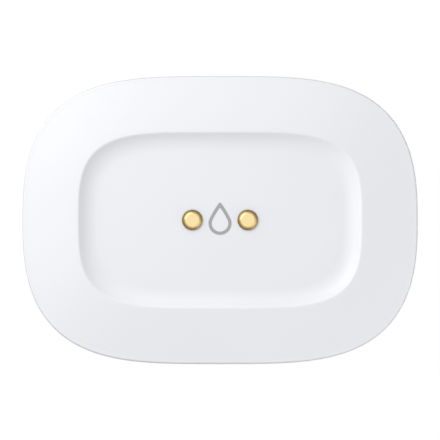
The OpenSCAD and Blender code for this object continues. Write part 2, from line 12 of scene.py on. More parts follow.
import bpy
import numpy as np
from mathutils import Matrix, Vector


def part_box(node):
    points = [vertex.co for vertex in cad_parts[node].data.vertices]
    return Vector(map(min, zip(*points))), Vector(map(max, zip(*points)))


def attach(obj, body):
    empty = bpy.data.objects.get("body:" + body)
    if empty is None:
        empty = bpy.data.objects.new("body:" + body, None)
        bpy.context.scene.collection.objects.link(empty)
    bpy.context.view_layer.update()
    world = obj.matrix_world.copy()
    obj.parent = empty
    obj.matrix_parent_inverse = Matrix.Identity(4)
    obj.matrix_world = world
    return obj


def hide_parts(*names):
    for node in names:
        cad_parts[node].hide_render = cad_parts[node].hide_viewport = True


MM = 0.001

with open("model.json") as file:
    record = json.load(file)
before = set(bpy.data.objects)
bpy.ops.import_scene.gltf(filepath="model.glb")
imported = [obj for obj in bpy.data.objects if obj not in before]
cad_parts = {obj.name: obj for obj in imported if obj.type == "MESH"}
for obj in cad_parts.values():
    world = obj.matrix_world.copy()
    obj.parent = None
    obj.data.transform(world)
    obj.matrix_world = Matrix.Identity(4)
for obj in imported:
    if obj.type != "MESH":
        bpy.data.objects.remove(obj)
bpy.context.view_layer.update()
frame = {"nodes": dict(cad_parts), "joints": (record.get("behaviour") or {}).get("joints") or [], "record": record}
nodes = frame["nodes"]
limits = {joint["name"]: joint for joint in frame["joints"]}


def box_mm(node):
    """Lowest and highest corner of a CAD node, in millimetres."""
    low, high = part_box(node)
    return np.array(low) / MM, np.array(high) / MM


# %% [markdown]
# ## The camera
# The photograph looks straight down from far off, so the sides of the body don't show. An orthographic
# camera could give that, but a very long lens high above the middle gives the same flat view and still has
# a place in the room when it is moved. The width of the picture is a length on the plane of the seam, where
# the body is widest, so the lens follows from that width and the camera's height.

# %% Camera
SENSOR = 36.0
PICTURE_WIDTH = 76.3
CAMERA_HEIGHT = 3200.0

seam_z = box_mm("top_cover")[0][2]
camera_data = bpy.data.cameras.new("camera")
camera_data.sensor_width = SENSOR
camera_data.lens = SENSOR * CAMERA_HEIGHT / PICTURE_WIDTH
camera = bpy.data.objects.new("camera", camera_data)
camera.location = (0, 0, (seam_z + CAMERA_HEIGHT) * MM)
bpy.context.scene.collection.objects.link(camera)
bpy.context.scene.camera = camera
print("lens", round(camera_data.lens), "mm, seam at", round(seam_z, 2), "mm")

# %% [markdown]
# ## How a finish is built
# A real surface is never one flat colour. A picture wrapped round the piece could show that, but it would
# blur up close, so each finish below is a Principled shader whose colour, roughness and relief drift a
# little by noise. The patterns read Object coordinates, turned into millimetres, so a grain of 0.2 mm is
# written as 0.2. Values that are the same all over go straight onto the shader's own sockets.

# %% Node helpers
def start_finish(name, metallic=0.0, **even):
    """A new material with a Principled shader, whose even values are set on its own sockets."""
    material = bpy.data.materials.new(name)
    material.use_nodes = True
    shader = material.node_tree.nodes["Principled BSDF"]
    shader.inputs["Metallic"].default_value = metallic
    for socket, value in even.items():
        shader.inputs[socket.replace("_", " ")].default_value = value
    return material, material.node_tree, shader


def millimetres(tree, stretch=(1, 1, 1), turn=0.0):
    """Object coordinates in millimetres, stretched along the axes and turned about Z by so many degrees."""
    source = tree.nodes.new("ShaderNodeTexCoord")
    mapping = tree.nodes.new("ShaderNodeMapping")
    mapping.inputs["Scale"].default_value = np.array(stretch) / MM
    mapping.inputs["Rotation"].default_value = (0, 0, np.radians(turn))
    tree.links.new(source.outputs["Object"], mapping.inputs["Vector"])
    return mapping.outputs["Vector"]


def blobs(tree, place, size, detail=2.0):
    """Soft noise from 0 to 1 whose blobs are about size millimetres across."""
    noise = tree.nodes.new("ShaderNodeTexNoise")
    noise.inputs["Scale"].default_value = 1 / size
    noise.inputs["Detail"].default_value = detail
    tree.links.new(place, noise.inputs["Vector"])
    return noise.outputs["Fac"]


def spread(tree, value, low, high, start=0.3, end=0.7):
    """The value's stretch from start to end laid over low to high, and held there outside it."""
    node = tree.nodes.new("ShaderNodeMapRange")
    for socket, number in (("From Min", start), ("From Max", end), ("To Min", low), ("To Max", high)):
        node.inputs[socket].default_value = number
    tree.links.new(value, node.inputs["Value"])
    return node.outputs["Result"]


def paint(tree, value, first, second, socket):
    """Colour that goes from the first at 0 to the second at 1."""
    mix = tree.nodes.new("ShaderNodeMix")
    mix.data_type = "RGBA"
    mix.inputs["A"].default_value = (*first, 1)
    mix.inputs["B"].default_value = (*second, 1)
    tree.links.new(value, mix.inputs["Factor"])
    tree.links.new(mix.outputs["Result"], socket)


def emboss(tree, height, depth, shader):
    """Relief of so many millimetres between height 0 and height 1."""
    bump = tree.nodes.new("ShaderNodeBump")
    bump.inputs["Distance"].default_value = depth * MM
    tree.links.new(height, bump.inputs["Height"])
    tree.links.new(bump.outputs["Normal"], shader.inputs["Normal"])


def shades(colour, share):
    """Two shades of a colour, so much darker and lighter by share."""
    return np.array(colour) * (1 - share), np.minimum(np.array(colour) * (1 + share), 1)


finishes = {}
print("node helpers ready")

# %% [markdown]
# ## Plastic, rubber and ink
# The cover is a cool white, the base a plainer white with a coarser eroded grain, as a part has that nobody
# looks at. Both are satin: a middling roughness that wanders slightly. Silicone is duller and dusty, and
# the ink of the drop is flat, grey and a little uneven. Each could have a node tree of its own, but they
# differ only in numbers, so one function makes them all.

# %% Moulded finishes
TINT_SIZE, SHEEN_SIZE, SHEEN_DRIFT = 18.0, 2.5, 0.04


def moulded(name, colour, roughness, drift=0.006, grain=0.25, depth=0.002, **even):
    """A moulding: colour drifts over centimetres, roughness over millimetres, and fine noise is its grain."""
    material, tree, shader = start_finish(name, **even)
    place = millimetres(tree)
    tint = spread(tree, blobs(tree, place, TINT_SIZE), 0, 1)
    paint(tree, tint, *shades(colour, drift), shader.inputs["Base Color"])
    sheen = blobs(tree, place, SHEEN_SIZE, detail=4)
    rough = spread(tree, sheen, roughness - SHEEN_DRIFT, roughness + SHEEN_DRIFT)
    tree.links.new(rough, shader.inputs["Roughness"])
    emboss(tree, blobs(tree, place, grain, detail=1), depth, shader)
    finishes[name] = material


moulded("cover_white", (0.9, 0.91, 0.945), 0.36, grain=0.3, depth=0.0008)
moulded("base_white", (0.87, 0.872, 0.875), 0.48, grain=0.22, depth=0.006)
moulded("button_grey", (0.6, 0.61, 0.63), 0.42, drift=0.015, depth=0.003)
moulded("print_grey", (0.417, 0.418, 0.428), 0.55, drift=0.03, grain=0.08, depth=0.001)
moulded("silicone_grey", (0.4, 0.41, 0.42), 0.62, drift=0.05, grain=0.4, depth=0.004)
moulded("silicone_black", (0.05, 0.05, 0.055), 0.58, drift=0.12, grain=0.4, depth=0.004)
moulded("switch_black", (0.03, 0.03, 0.032), 0.5, drift=0.1, depth=0.004)
moulded("switch_grey", (0.11, 0.115, 0.12), 0.45, drift=0.06)
moulded("chip_dark", (0.06, 0.05, 0.045), 0.55, drift=0.15, grain=0.1, depth=0.003)
moulded("antenna_white", (0.78, 0.79, 0.8), 0.35, drift=0.02, Coat_Weight=0.3)
moulded("led_lens", (0.9, 0.87, 0.66), 0.12, drift=0.03, Coat_Weight=0.6)
print(len(finishes), "mouldings")

# %% [markdown]
# ## Metal
# The contacts are turned brass under gold, so they carry fine rings about their own axis. Towards the rim
# of a head the gold is painted darker, a painted shade and reflection on the bevel. Both patterns could be
# centred by a Mapping node for each pin. A turned piece is given its radius as an attribute instead, and the
# gold reads that, which works wherever the piece stands. Sheet, wire and screws are plated steel with long
# faint streaks from drawing or rolling.

# %% Metal finishes
# The first stop is the gold itself. The later stops are painted shade and reflection, darkening the bevel towards
# the rim.
GOLD_AND_PAINTED_RIM_SHADE = {
    0.06: (0.945, 0.765, 0.405),
    0.48: (0.9, 0.645, 0.26),
    0.7: (0.54, 0.385, 0.16),
    1.0: (0.34, 0.23, 0.09),
}
GOLD_ROUGH, GOLD_PATCH = (0.26, 0.3), 0.8
RING_PITCH, RING_DEPTH = 0.11, 0.00005
STREAK_SIZE, STREAK_SHADE, STREAK_DEPTH = 2.0, 0.06, 0.002
WEAR_SIZE, WEAR_DRIFT = 1.2, 0.06


def turned_gold(name, flat, rim):
    """Gold with a painted shade that deepens to a head's rim, and turning rings: sin(2 pi radius / pitch)."""
    material, tree, shader = start_finish(name, metallic=1.0)
    radius = tree.nodes.new("ShaderNodeAttribute")
    radius.attribute_name = "turn_radius"
    # This ramp paints shade and reflection onto the bevel: the gold grows darker towards the rim.
    gold_and_rim_shade = tree.nodes.new("ShaderNodeValToRGB")
    stops = gold_and_rim_shade.color_ramp.elements
    for place in list(GOLD_AND_PAINTED_RIM_SHADE)[1:-1]:
        stops.new(place)
    for stop, (place, tone) in zip(stops, GOLD_AND_PAINTED_RIM_SHADE.items()):
        stop.position = place
        stop.color = (*tone, 1)
    tree.links.new(spread(tree, radius.outputs["Fac"], 0, 1, flat, rim), gold_and_rim_shade.inputs["Fac"])
    tree.links.new(gold_and_rim_shade.outputs["Color"], shader.inputs["Base Color"])
    rough = spread(tree, blobs(tree, millimetres(tree), GOLD_PATCH, detail=3), *GOLD_ROUGH)
    tree.links.new(rough, shader.inputs["Roughness"])
    wave = tree.nodes.new("ShaderNodeMath")
    wave.operation = "MULTIPLY"
    wave.inputs[1].default_value = 2 * np.pi / RING_PITCH
    tree.links.new(radius.outputs["Fac"], wave.inputs[0])
    rings = tree.nodes.new("ShaderNodeMath")
    rings.operation = "SINE"
    tree.links.new(wave.outputs["Value"], rings.inputs[0])
    emboss(tree, rings.outputs["Value"], RING_DEPTH, shader)
    finishes[name] = material


def plated(name, colour, roughness, streak=(1, 1, 12), turn=0.0):
    """Plated metal with streaks: noise squeezed along the axes where the stretch is large."""
    material, tree, shader = start_finish(name, metallic=1.0)
    streaks = blobs(tree, millimetres(tree, streak, turn), STREAK_SIZE, detail=3)
    paint(tree, spread(tree, streaks, 0, 1), *shades(colour, STREAK_SHADE), shader.inputs["Base Color"])
    wear = blobs(tree, millimetres(tree), WEAR_SIZE, detail=3)
    rough = spread(tree, wear, roughness - WEAR_DRIFT, roughness + WEAR_DRIFT)
    tree.links.new(rough, shader.inputs["Roughness"])
    emboss(tree, streaks, STREAK_DEPTH, shader)
    finishes[name] = material


turned_gold("contact_gold", flat=1.0, rim=1.75)
plated("screw_steel", (0.58, 0.585, 0.6), 0.3, (6, 6, 1))
plated("spring_steel", (0.6, 0.61, 0.63), 0.28)
plated("spring_bronze", (0.72, 0.52, 0.26), 0.27)
plated("tin_shield", (0.64, 0.65, 0.66), 0.36, (1, 9, 1), 8)
plated("cell_steel", (0.66, 0.67, 0.69), 0.3, (9, 1, 1))
print(len(finishes), "finishes so far")

# %% [markdown]
# ## Circuit boards
# Solder mask is a glossy lacquer, a shade lighter where it runs over copper. The tracks could be drawn one
# by one, but the boards stay inside the housing, so the joints of a brick pattern in the plane of the board
# tell enough.

# %% Board finishes
TRACK_SCALE, COPPER_SHADE, COPPER_HEIGHT = 0.35, 1.7, 0.03


def solder_mask(name, colour, track):
    """Lacquer whose tracks are the joints of a brick pattern, a shade lighter and a little raised."""
    material, tree, shader = start_finish(name, Roughness=0.28, Coat_Weight=0.4)
    bricks = tree.nodes.new("ShaderNodeTexBrick")
    bricks.inputs["Scale"].default_value = TRACK_SCALE
    bricks.inputs["Mortar Size"].default_value = track
    tree.links.new(millimetres(tree), bricks.inputs["Vector"])
    over_copper = np.array(colour) * COPPER_SHADE
    paint(tree, bricks.outputs["Fac"], colour, over_copper, shader.inputs["Base Color"])
    emboss(tree, bricks.outputs["Fac"], COPPER_HEIGHT, shader)
    finishes[name] = material


solder_mask("board_green", (0.03, 0.17, 0.08), 0.05)
solder_mask("board_blue", (0.02, 0.07, 0.2), 0.04)
print(len(finishes), "finishes in all")

# %% [markdown]
# ## From rows of points to a piece
# Nearly every piece here is a stack of closed rows of points: the housing is a stack of outlines, a turned
# pin is a stack of circles. They could be built face by face, but one function that joins neighbouring rows
# with quads and closes the two ends serves them all. Working on whole arrays keeps it quick, and the points
# stay in millimetres until the mesh is filled.

# %% Meshes from rows
def make_piece(name, points, faces):
    """A mesh object from points in millimetres and lists of corner numbers."""
    mesh = bpy.data.meshes.new(name)
    mesh.from_pydata((np.asarray(points) * MM).tolist(), [], faces)
    piece = bpy.data.objects.new(name, mesh)
    bpy.context.scene.collection.objects.link(piece)
    return piece


def stack(name, rows, ring=False):
    """Skin over rows (count, around, 3): quads from row k to k + 1, then one face on each end row. A ring of
    rows has no ends, and joins its last row to its first."""
    count, around = rows.shape[:2]
    index = np.arange(count * around).reshape(count, around)
    lower = index if ring else index[:-1]
    upper = np.roll(index, -1, axis=0) if ring else index[1:]
    quads = np.stack([lower, np.roll(lower, -1, 1), np.roll(upper, -1, 1), upper], axis=-1)
    faces = quads.reshape(-1, 4).tolist()
    if not ring:
        faces += [index[0, ::-1].tolist(), index[-1].tolist()]
    return make_piece(name, rows.reshape(-1, 3), faces)


def turned_rows(profile, centre=(0, 0), around=96):
    """Circles of a turned shape: (r cos u, r sin u, z) about an upright axis, for a profile of (r, z)."""
    turn = np.linspace(0, 2 * np.pi, around, endpoint=False)
    radius, height = np.asarray(profile, float).T[:, :, None]
    x = centre[0] + radius * np.cos(turn)
    y = centre[1] + radius * np.sin(turn)
    return np.stack([x, y, np.broadcast_to(height, x.shape)], axis=-1)


def level_row(plan, height):
    """A row of points: a plan of (x, y) laid at one height."""
    return np.column_stack([plan, np.full(len(plan), height)])


def block(low, high):
    """A box-shaped solid between two corners, for cutting: the same four corners at two heights."""
    plan = [(low[0], low[1]), (high[0], low[1]), (high[0], high[1]), (low[0], high[1])]
    return stack("block", np.stack([level_row(plan, low[2]), level_row(plan, high[2])]))


def carve(piece, joined=(), cut=()):
    """Joins solids to a piece and cuts others from it with exact Booleans, and removes those solids."""
    tools = [(tool, "UNION") for tool in joined] + [(tool, "DIFFERENCE") for tool in cut]
    for tool, operation in tools:
        change = piece.modifiers.new("carve", "BOOLEAN")
        change.operation, change.solver, change.object = operation, "EXACT", tool
        seen = piece.evaluated_get(bpy.context.evaluated_depsgraph_get())
        carved = bpy.data.meshes.new_from_object(seen)
        piece.modifiers.clear()
        piece.data = carved
        bpy.data.objects.remove(tool)
    return piece


print("mesh helpers ready")

# %% [markdown]
# ## Dressing a piece
# A moulded or turned piece is smooth but for its real edges, has one finish and belongs to one body. All
# that could be set by hand, piece by piece. One function does it the same way for every piece, and counts
# the edges that don't join two faces, because a closed skin has none.

# %% Dress a piece
def dress(piece, body, slot, *replaced, sharp=32):
    """Shades a piece smoothly but for sharp edges, gives it its finish, and puts it on its body."""
    mesh = piece.data
    mesh.name = piece.name
    mesh.polygons.foreach_set("use_smooth", np.ones(len(mesh.polygons), bool))
    mesh.set_sharp_from_angle(angle=np.radians(sharp))
    mesh.materials.clear()
    mesh.materials.append(finishes[slot])
    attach(piece, body)
    if replaced:
        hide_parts(*replaced)
    edges = np.zeros(len(mesh.loops), np.int32)
    mesh.loops.foreach_get("edge_index", edges)
    open_edges = int((np.bincount(edges, minlength=len(mesh.edges)) != 2).sum())
    print(f"{piece.name}: {len(mesh.polygons)} faces, {open_edges} open edges, on {body}")


def mark_radius(piece, centre):
    """Stores each point's distance in millimetres from an upright axis as the attribute turn_radius."""
    points = np.zeros(3 * len(piece.data.vertices), np.float32)
    piece.data.vertices.foreach_get("co", points)
    plan = points.reshape(-1, 3)[:, :2] / MM - np.asarray(centre)
    attribute = piece.data.attributes.new("turn_radius", "FLOAT", "POINT")
    attribute.data.foreach_set("value", np.linalg.norm(plan, axis=1).astype(np.float32))


print("dressing helpers ready")

# %% [markdown]
# ## The body's outline
# Seen from above the body is neither a rectangle nor an oval, but a superellipse, and it grows squarer from
# the outer edge to the lip of the dish. A rectangle with round corners could come near it, but its sides
# would be straight, and the real ones bow. One function gives the outline at any inset. Even steps of its
# angle would bunch up on the sides, so the angles are chosen for equal steps of length.

# %% Outline
EDGE_POWER = (3.6, 2.67)
DISH_POWER = (4.5, 3.3)
RIM_WIDTH = 9.85
AROUND, FINE_STEPS = 288, 40001

base_low, base_high = box_mm("base")
half_length, half_width = (base_high - base_low)[:2] / 2
under_z = base_low[2]


def outline(profile, angles):
    """Rows of the outline for a profile of (inset, z): x = (half length - inset) sgn(cos)|cos|^(2/p), y alike
    with sin and q, where the powers p and q go from the edge's to the dish's as the inset crosses the rim."""
    inset, height = np.asarray(profile, float).T[:, :, None]
    share = np.clip(inset / RIM_WIDTH, 0, 1)
    power_x = EDGE_POWER[0] + (DISH_POWER[0] - EDGE_POWER[0]) * share
    power_y = EDGE_POWER[1] + (DISH_POWER[1] - EDGE_POWER[1]) * share
    c, s = np.cos(angles), np.sin(angles)
    x = (half_length - inset) * np.sign(c) * np.abs(c) ** (2 / power_x)
    y = (half_width - inset) * np.sign(s) * np.abs(s) ** (2 / power_y)
    return np.stack([x, y, np.broadcast_to(height, x.shape)], axis=-1)


def even_angles(inset, count):
    """Angles at equal steps along the outline, read off its running length."""
    fine = np.linspace(0, 2 * np.pi, FINE_STEPS)
    line = outline([(inset, 0)], fine)[0]
    length = np.concatenate([[0], np.cumsum(np.linalg.norm(np.diff(line, axis=0), axis=1))])
    return np.interp(np.linspace(0, length[-1], count, endpoint=False), length, fine)


angles = even_angles(RIM_WIDTH / 2, AROUND)
print("outline", round(2 * half_length, 2), "x", round(2 * half_width, 2), "mm,", AROUND, "points round")

# %% [markdown]
# ## The cover
# The cover is one moulding: a skirt, a tight rounding with a narrow level land beside it, a broad rim that
# slopes up to the lip, and the dish. It could be sculpted from a subdivided box, but its section is the
# same all round, so a profile of inset and height carried round the outline gives it exactly. The dish's
# wall is an arc that runs level into its floor.

# %% Levels and curves of the cover
WALL = 1.8
RIM_RISE, RIM_CROWN = 1.1, 1.12
DISH_DEPTH, DISH_WALL, LIP_ROUND = 1.5, 3.2, 0.25
REVEAL, SKIRT_DRAFT, SEAM_ROUND = 0.15, 0.1, 0.12
EDGE_LAND, EDGE_ROUND = 0.25, 0.2

head_height = under_z - box_mm("floor_contact_front_left")[0][2]
dish_z = box_mm("drip_contact_left")[1][2] - head_height
ceiling_z = dish_z - WALL
lip_z = dish_z + DISH_DEPTH
edge_out = REVEAL + SKIRT_DRAFT
edge_in = edge_out + EDGE_ROUND + EDGE_LAND
edge_z = lip_z - RIM_RISE
skirt_in = REVEAL + WALL


def rim_height(inset):
    """Top of the rim: it falls away from the lip as a power of the distance outwards."""
    return lip_z - RIM_RISE * ((RIM_WIDTH - inset) / (RIM_WIDTH - edge_in)) ** RIM_CROWN


def rounding(centre, radius, start, end, steps):
    """Arc of (inset, z) about a centre: at 90 degrees it points to the outline, at 0 up and at 180 down."""
    turn = np.radians(np.linspace(start, end, steps))
    return np.stack([centre[0] - radius * np.sin(turn), centre[1] + radius * np.cos(turn)], axis=1)


def bend(start, middle, end, steps):
    """Quadratic curve: start (1-t)^2 + middle 2t(1-t) + end t^2."""
    t = np.linspace(0, 1, steps)[:, None]
    return np.array(start) * (1 - t) ** 2 + np.array(middle) * 2 * t * (1 - t) + np.array(end) * t ** 2


rim_slope = np.degrees(np.arctan(RIM_RISE * RIM_CROWN / (RIM_WIDTH - edge_in)))
dish_angle = 2 * np.degrees(np.arctan(DISH_DEPTH / DISH_WALL))
dish_radius = DISH_WALL / np.sin(np.radians(dish_angle))
lip_angle = dish_angle - np.degrees(LIP_ROUND / dish_radius)
print("rim slopes", round(rim_slope, 1), "degrees, the dish's wall", round(dish_angle, 1), "at the lip")

# %% [markdown]
# A moulding has a wall of nearly even thickness. It could be one skin with a Solidify modifier, but the
# inside of the real wall follows the outside only roughly. So the profile is a closed run: from the ceiling
# under the dish out along the inside, round the foot of the skirt, and back over the rim into the dish.

# %% Profile of the cover
rim_inset = np.linspace(edge_in, RIM_WIDTH - LIP_ROUND, 26)
rim = np.stack([rim_inset, rim_height(rim_inset)], axis=1)
wall_centre = (RIM_WIDTH + DISH_WALL, dish_z + dish_radius)
dish_wall = rounding(wall_centre, dish_radius, 180 - lip_angle, 180, 28)
inner_turn = EDGE_ROUND + EDGE_LAND
inner_inset = np.linspace(RIM_WIDTH - WALL, skirt_in + inner_turn, 8)
cover_profile = np.vstack([
    [(RIM_WIDTH + DISH_WALL - WALL / 3, ceiling_z), (RIM_WIDTH - WALL / 2, lip_z - WALL)],
    np.stack([inner_inset, rim_height(inner_inset) - WALL], axis=1),
    rounding((skirt_in + inner_turn, edge_z - WALL - inner_turn), inner_turn, 20, 90, 6),
    [(skirt_in, seam_z)],
    rounding((REVEAL + SEAM_ROUND, seam_z + SEAM_ROUND), SEAM_ROUND, 180, 90, 5),
    rounding((edge_out + EDGE_ROUND, edge_z - EDGE_ROUND), EDGE_ROUND, 90, 0, 10),
    rim,
    bend(rim[-1], (RIM_WIDTH, lip_z), dish_wall[0], 9)[1:],
    dish_wall[1:],
    [(RIM_WIDTH + DISH_WALL + SEAM_ROUND, dish_z)],
])
print(len(cover_profile), "rows from the ceiling round the skirt to the floor of the dish")

# %% [markdown]
# Under the dish hang four bosses for the case screws, and the floor of the dish has the seats of the two
# drip contacts. They could be worked into the grid of the skin. Exact Booleans keep the smooth skin as it
# is, because they only touch flat or hidden stretches. Each contact's head stands in a ring of clearance,
# which the eye reads as a fine dark line.

# %% Cover
SNUG, SLIP = 0.04, 0.12
POST_WALL, SCREW_RADIUS, SCREW_HEAD_RADIUS = 1.0, 1.1, 1.9
SHANK_RADIUS, CONTACT_SEAL = 1.0, 0.5
HEAD_GAP, HEAD_GAP_DEPTH = 0.03, 0.2
JOIN = 0.5

board_low, board_high = box_mm("main_board")
screw_low, screw_high = box_mm("case_screws")
screw_places = [
    (x * (screw_high[0] - SCREW_HEAD_RADIUS), y * (screw_high[1] - SCREW_HEAD_RADIUS))
    for x in (-1, 1) for y in (-1, 1)]


def peg(radius, low, high, centre, around=64):
    """A plain round solid that joins or cuts another piece."""
    return stack("peg", turned_rows([(radius, low), (radius, high)], centre, around))


def middle(node):
    """The middle of a node in plan."""
    low, high = box_mm(node)
    return tuple((low + high)[:2] / 2)


head_radius = (box_mm("drip_contact_left")[1] - box_mm("drip_contact_left")[0])[0] / 2
seal_radius = SHANK_RADIUS + CONTACT_SEAL + 2 * SNUG
seal_depth = CONTACT_SEAL + SNUG
seat = [
    (SHANK_RADIUS + SNUG, ceiling_z - JOIN), (SHANK_RADIUS + SNUG, dish_z - seal_depth),
    (seal_radius, dish_z - seal_depth), (seal_radius, dish_z - HEAD_GAP_DEPTH),
    (head_radius + HEAD_GAP, dish_z - HEAD_GAP_DEPTH), (head_radius + HEAD_GAP, dish_z + JOIN)]
boss_radius = SCREW_RADIUS + POST_WALL + SNUG
boss_top = lip_z - WALL + JOIN
cover = stack("cover_shell", outline(cover_profile, angles))
carve(
    cover,
    joined=[peg(boss_radius, board_high[2], boss_top, p) for p in screw_places],
    cut=[peg(SCREW_RADIUS + SNUG, board_high[2] - JOIN, screw_high[2] + SLIP, p) for p in screw_places]
    + [stack("seat", turned_rows(seat, middle(n))) for n in ("drip_contact_left", "drip_contact_right")]
    + [peg(head_radius, ceiling_z - JOIN, ceiling_z + WALL / 2, (0, 0))])
dress(cover, "housing", "cover_white", "top_cover")

# %% [markdown]
# ## The base
# The base is a bowl: its underside curves up in a quarter of an ellipse to a short upright land at the
# seam, where it stands out a hair past the cover. A fine groove beside the cover's foot draws the seam as a
# thin shadow. Farther in are the groove of the seal and the tongue that centres the cover. The bowl could
# be hollowed from a solid, but the same kind of stack as the cover's lets both meet on the same outline.

# %% Profile of the base
BASE_TUCK, SEAM_LAND = 5.0, 0.8
SEAM_LIP, SEAM_GAP, SEAM_GAP_DEPTH = 0.12, 0.2, 0.25
GROOVE_WIDTH, GROOVE_DEPTH = 1.0, 0.8
TONGUE_HEIGHT, TONGUE_WALL = 2.0, 1.2

inside_z = under_z + WALL
tongue_out = skirt_in + SLIP
tongue_in = tongue_out + TONGUE_WALL
groove_out = REVEAL + (WALL - GROOVE_WIDTH) / 2
groove_in = groove_out + GROOVE_WIDTH


def bowl(tuck, reach, low, high, steps):
    """Quarter ellipse of (inset, z): inset from tuck to reach as sin a, z from low to high as 1 - cos a."""
    a = np.radians(np.linspace(0, 90, steps))
    return np.stack([tuck + (reach - tuck) * np.sin(a), low + (high - low) * (1 - np.cos(a))], axis=1)


base_profile = np.vstack([
    [(BASE_TUCK + SEAM_ROUND, under_z)],
    bowl(BASE_TUCK, 0, under_z, seam_z - SEAM_LAND, 36),
    bend((0, seam_z - SEAM_LIP), (0, seam_z), (SEAM_LIP, seam_z), 5),
    [(SEAM_LIP, seam_z - SEAM_GAP_DEPTH), (SEAM_LIP + SEAM_GAP, seam_z - SEAM_GAP_DEPTH)],
    [(SEAM_LIP + SEAM_GAP, seam_z)],
    [(groove_out, seam_z), (groove_out, seam_z - GROOVE_DEPTH)],
    [(groove_in, seam_z - GROOVE_DEPTH), (groove_in, seam_z), (tongue_out, seam_z)],
    [(tongue_out, seam_z + TONGUE_HEIGHT), (tongue_in, seam_z + TONGUE_HEIGHT)],
    bowl(BASE_TUCK + WALL / 3, tongue_in, inside_z, seam_z - SEAM_LAND, 12)[::-1],
])
print(len(base_profile), "rows from the underside round the seam to the inner floor")

# %% [markdown]
# Each bore's mouth is rounded a little, as the edge of a moulding is. A Bevel modifier could do that, but
# it stumbles over the thin faces that Booleans leave. So the cutter carries the rounding: a bore of radius
# r opens to r + m over the last m of its depth, along a quarter circle. The ways of the door's lugs are
# parts of a ring.

# %% Bores of the base
MOUTH = 0.2
DOOR_AROUND, COLLAR_AROUND = 192, 128
DOOR_PLATE, PLUG_WALL, LUG_REACH, LUG_ARC, LUG_COUNT = 2.4, 1.0, 1.1, 26.0, 3
DOOR_RIM, LEDGE, COLLAR_WALL, LUG_PLAY = 0.6, 1.0, 1.5, 1.5
SCREW_HEAD, CELL_PROUD = 1.5, 1.0
BUTTON_CAP, BUTTON_FLANGE, TUBE_WALL, TUBE_OVER = 3.1, 0.7, 1.3, 1.0

door_low, door_high = box_mm("battery_door")
door_z, plug_z = door_low[2], door_high[2]
door_radius = (door_high - door_low)[0] / 2
lug_radius = door_radius - DOOR_RIM
plug_radius = lug_radius - LUG_REACH
bay_radius = plug_radius - PLUG_WALL
plate_z = door_z + DOOR_PLATE
shoulder_z = plate_z + SLIP
ledge_z = shoulder_z + LEDGE
lug_z = ledge_z + SLIP
groove_z = plug_z + SLIP
door_turn = limits["door_turn"]["range_deg"][1]
lug_angles = 90 + 360 * np.arange(LUG_COUNT) / LUG_COUNT


def mouth(radius, low):
    """Rounded mouth of a bore that opens downwards: r = radius + m (1 - sin b), z = low + m (1 - cos b)."""
    b = np.radians(np.linspace(0, 90, 6))
    edge = np.stack([radius + MOUTH * (1 - np.sin(b)), low + MOUTH * (1 - np.cos(b))], axis=1)
    return [(radius + MOUTH, low - JOIN), *edge.tolist()]


def sector(inner, outer, low, high, centre, arc):
    """Part of a ring: a rectangle of (r, z) carried round an upright axis, through an arc about an angle."""
    turn = np.radians(np.linspace(centre - arc / 2, centre + arc / 2, 25))[:, None]
    radius, height = np.array([inner, inner, outer, outer]), np.array([low, high, high, low])
    x, y = radius * np.cos(turn), radius * np.sin(turn)
    return stack("sector", np.stack([x, y, np.broadcast_to(height, x.shape)], axis=-1))


bay = mouth(door_radius + SLIP, under_z) + [
    (door_radius + SLIP, shoulder_z), (plug_radius + SLIP, shoulder_z), (plug_radius + SLIP, groove_z),
    (bay_radius, groove_z), (bay_radius, board_low[2])]
entry_arc = LUG_ARC + 2 * LUG_PLAY
lug_room = (plug_radius, lug_radius + SLIP)
lug_ways = [
    sector(*lug_room, ledge_z, groove_z, a - door_turn / 2, entry_arc + door_turn) for a in lug_angles]
lug_entries = [
    sector(*lug_room, shoulder_z - JOIN, ledge_z + JOIN, a - door_turn, entry_arc) for a in lug_angles]
print("door bore", round(2 * (door_radius + SLIP), 2), "mm across, opens over", door_turn, "degrees")

# %% [markdown]
# Inside the bowl stand the collar of the battery door, the screw posts and the button's tube. They could be
# pieces of their own, but a moulding is one piece. They are joined to it first and bored afterwards, so
# that no bore is filled again.

# %% Base
button_low, button_high = box_mm("connect_button")
button_place = middle("connect_button")
button_z = button_low[2]
flange_radius = (button_high - button_low)[1] / 2
button_radius = flange_radius - BUTTON_FLANGE
flange_z = button_z + BUTTON_CAP
button_travel = limits["button_press"]["range_m"][1] / MM
tube_z = flange_z + BUTTON_FLANGE + button_travel + TUBE_OVER
cell_high = box_mm("coin_cell")[1]
clip_low, clip_high = box_mm("positive_clip")
screw_seat = screw_low[2] + SCREW_HEAD
feet = [name for name in nodes if name.startswith("floor_contact")]
collar_z = groove_z + COLLAR_WALL
bay_top = cell_high[2] - CELL_PROUD

well = mouth(SCREW_HEAD_RADIUS + SLIP, under_z) + [
    (SCREW_HEAD_RADIUS + SLIP, screw_seat), (SCREW_RADIUS + SLIP, screw_seat),
    (SCREW_RADIUS + SLIP, board_low[2] + JOIN)]
foot_seat = [
    (head_radius + HEAD_GAP, under_z - JOIN), (head_radius + HEAD_GAP, under_z + HEAD_GAP_DEPTH),
    (seal_radius, under_z + HEAD_GAP_DEPTH), (seal_radius, under_z + seal_depth),
    (SHANK_RADIUS + SNUG, under_z + seal_depth), (SHANK_RADIUS + SNUG, inside_z + JOIN)]
button_bore = mouth(button_radius + SLIP, under_z) + [
    (button_radius + SLIP, flange_z - SNUG), (flange_radius + SLIP, flange_z - SNUG),
    (flange_radius + SLIP, tube_z + JOIN)]
clip_slot = block(
    (-bay_radius - 2 * COLLAR_WALL, clip_low[1] - 2 * SLIP, collar_z + JOIN),
    (-bay_radius + COLLAR_WALL, clip_high[1] + 2 * SLIP, cell_high[2] + JOIN))
base = stack("base_shell", outline(base_profile, angles))
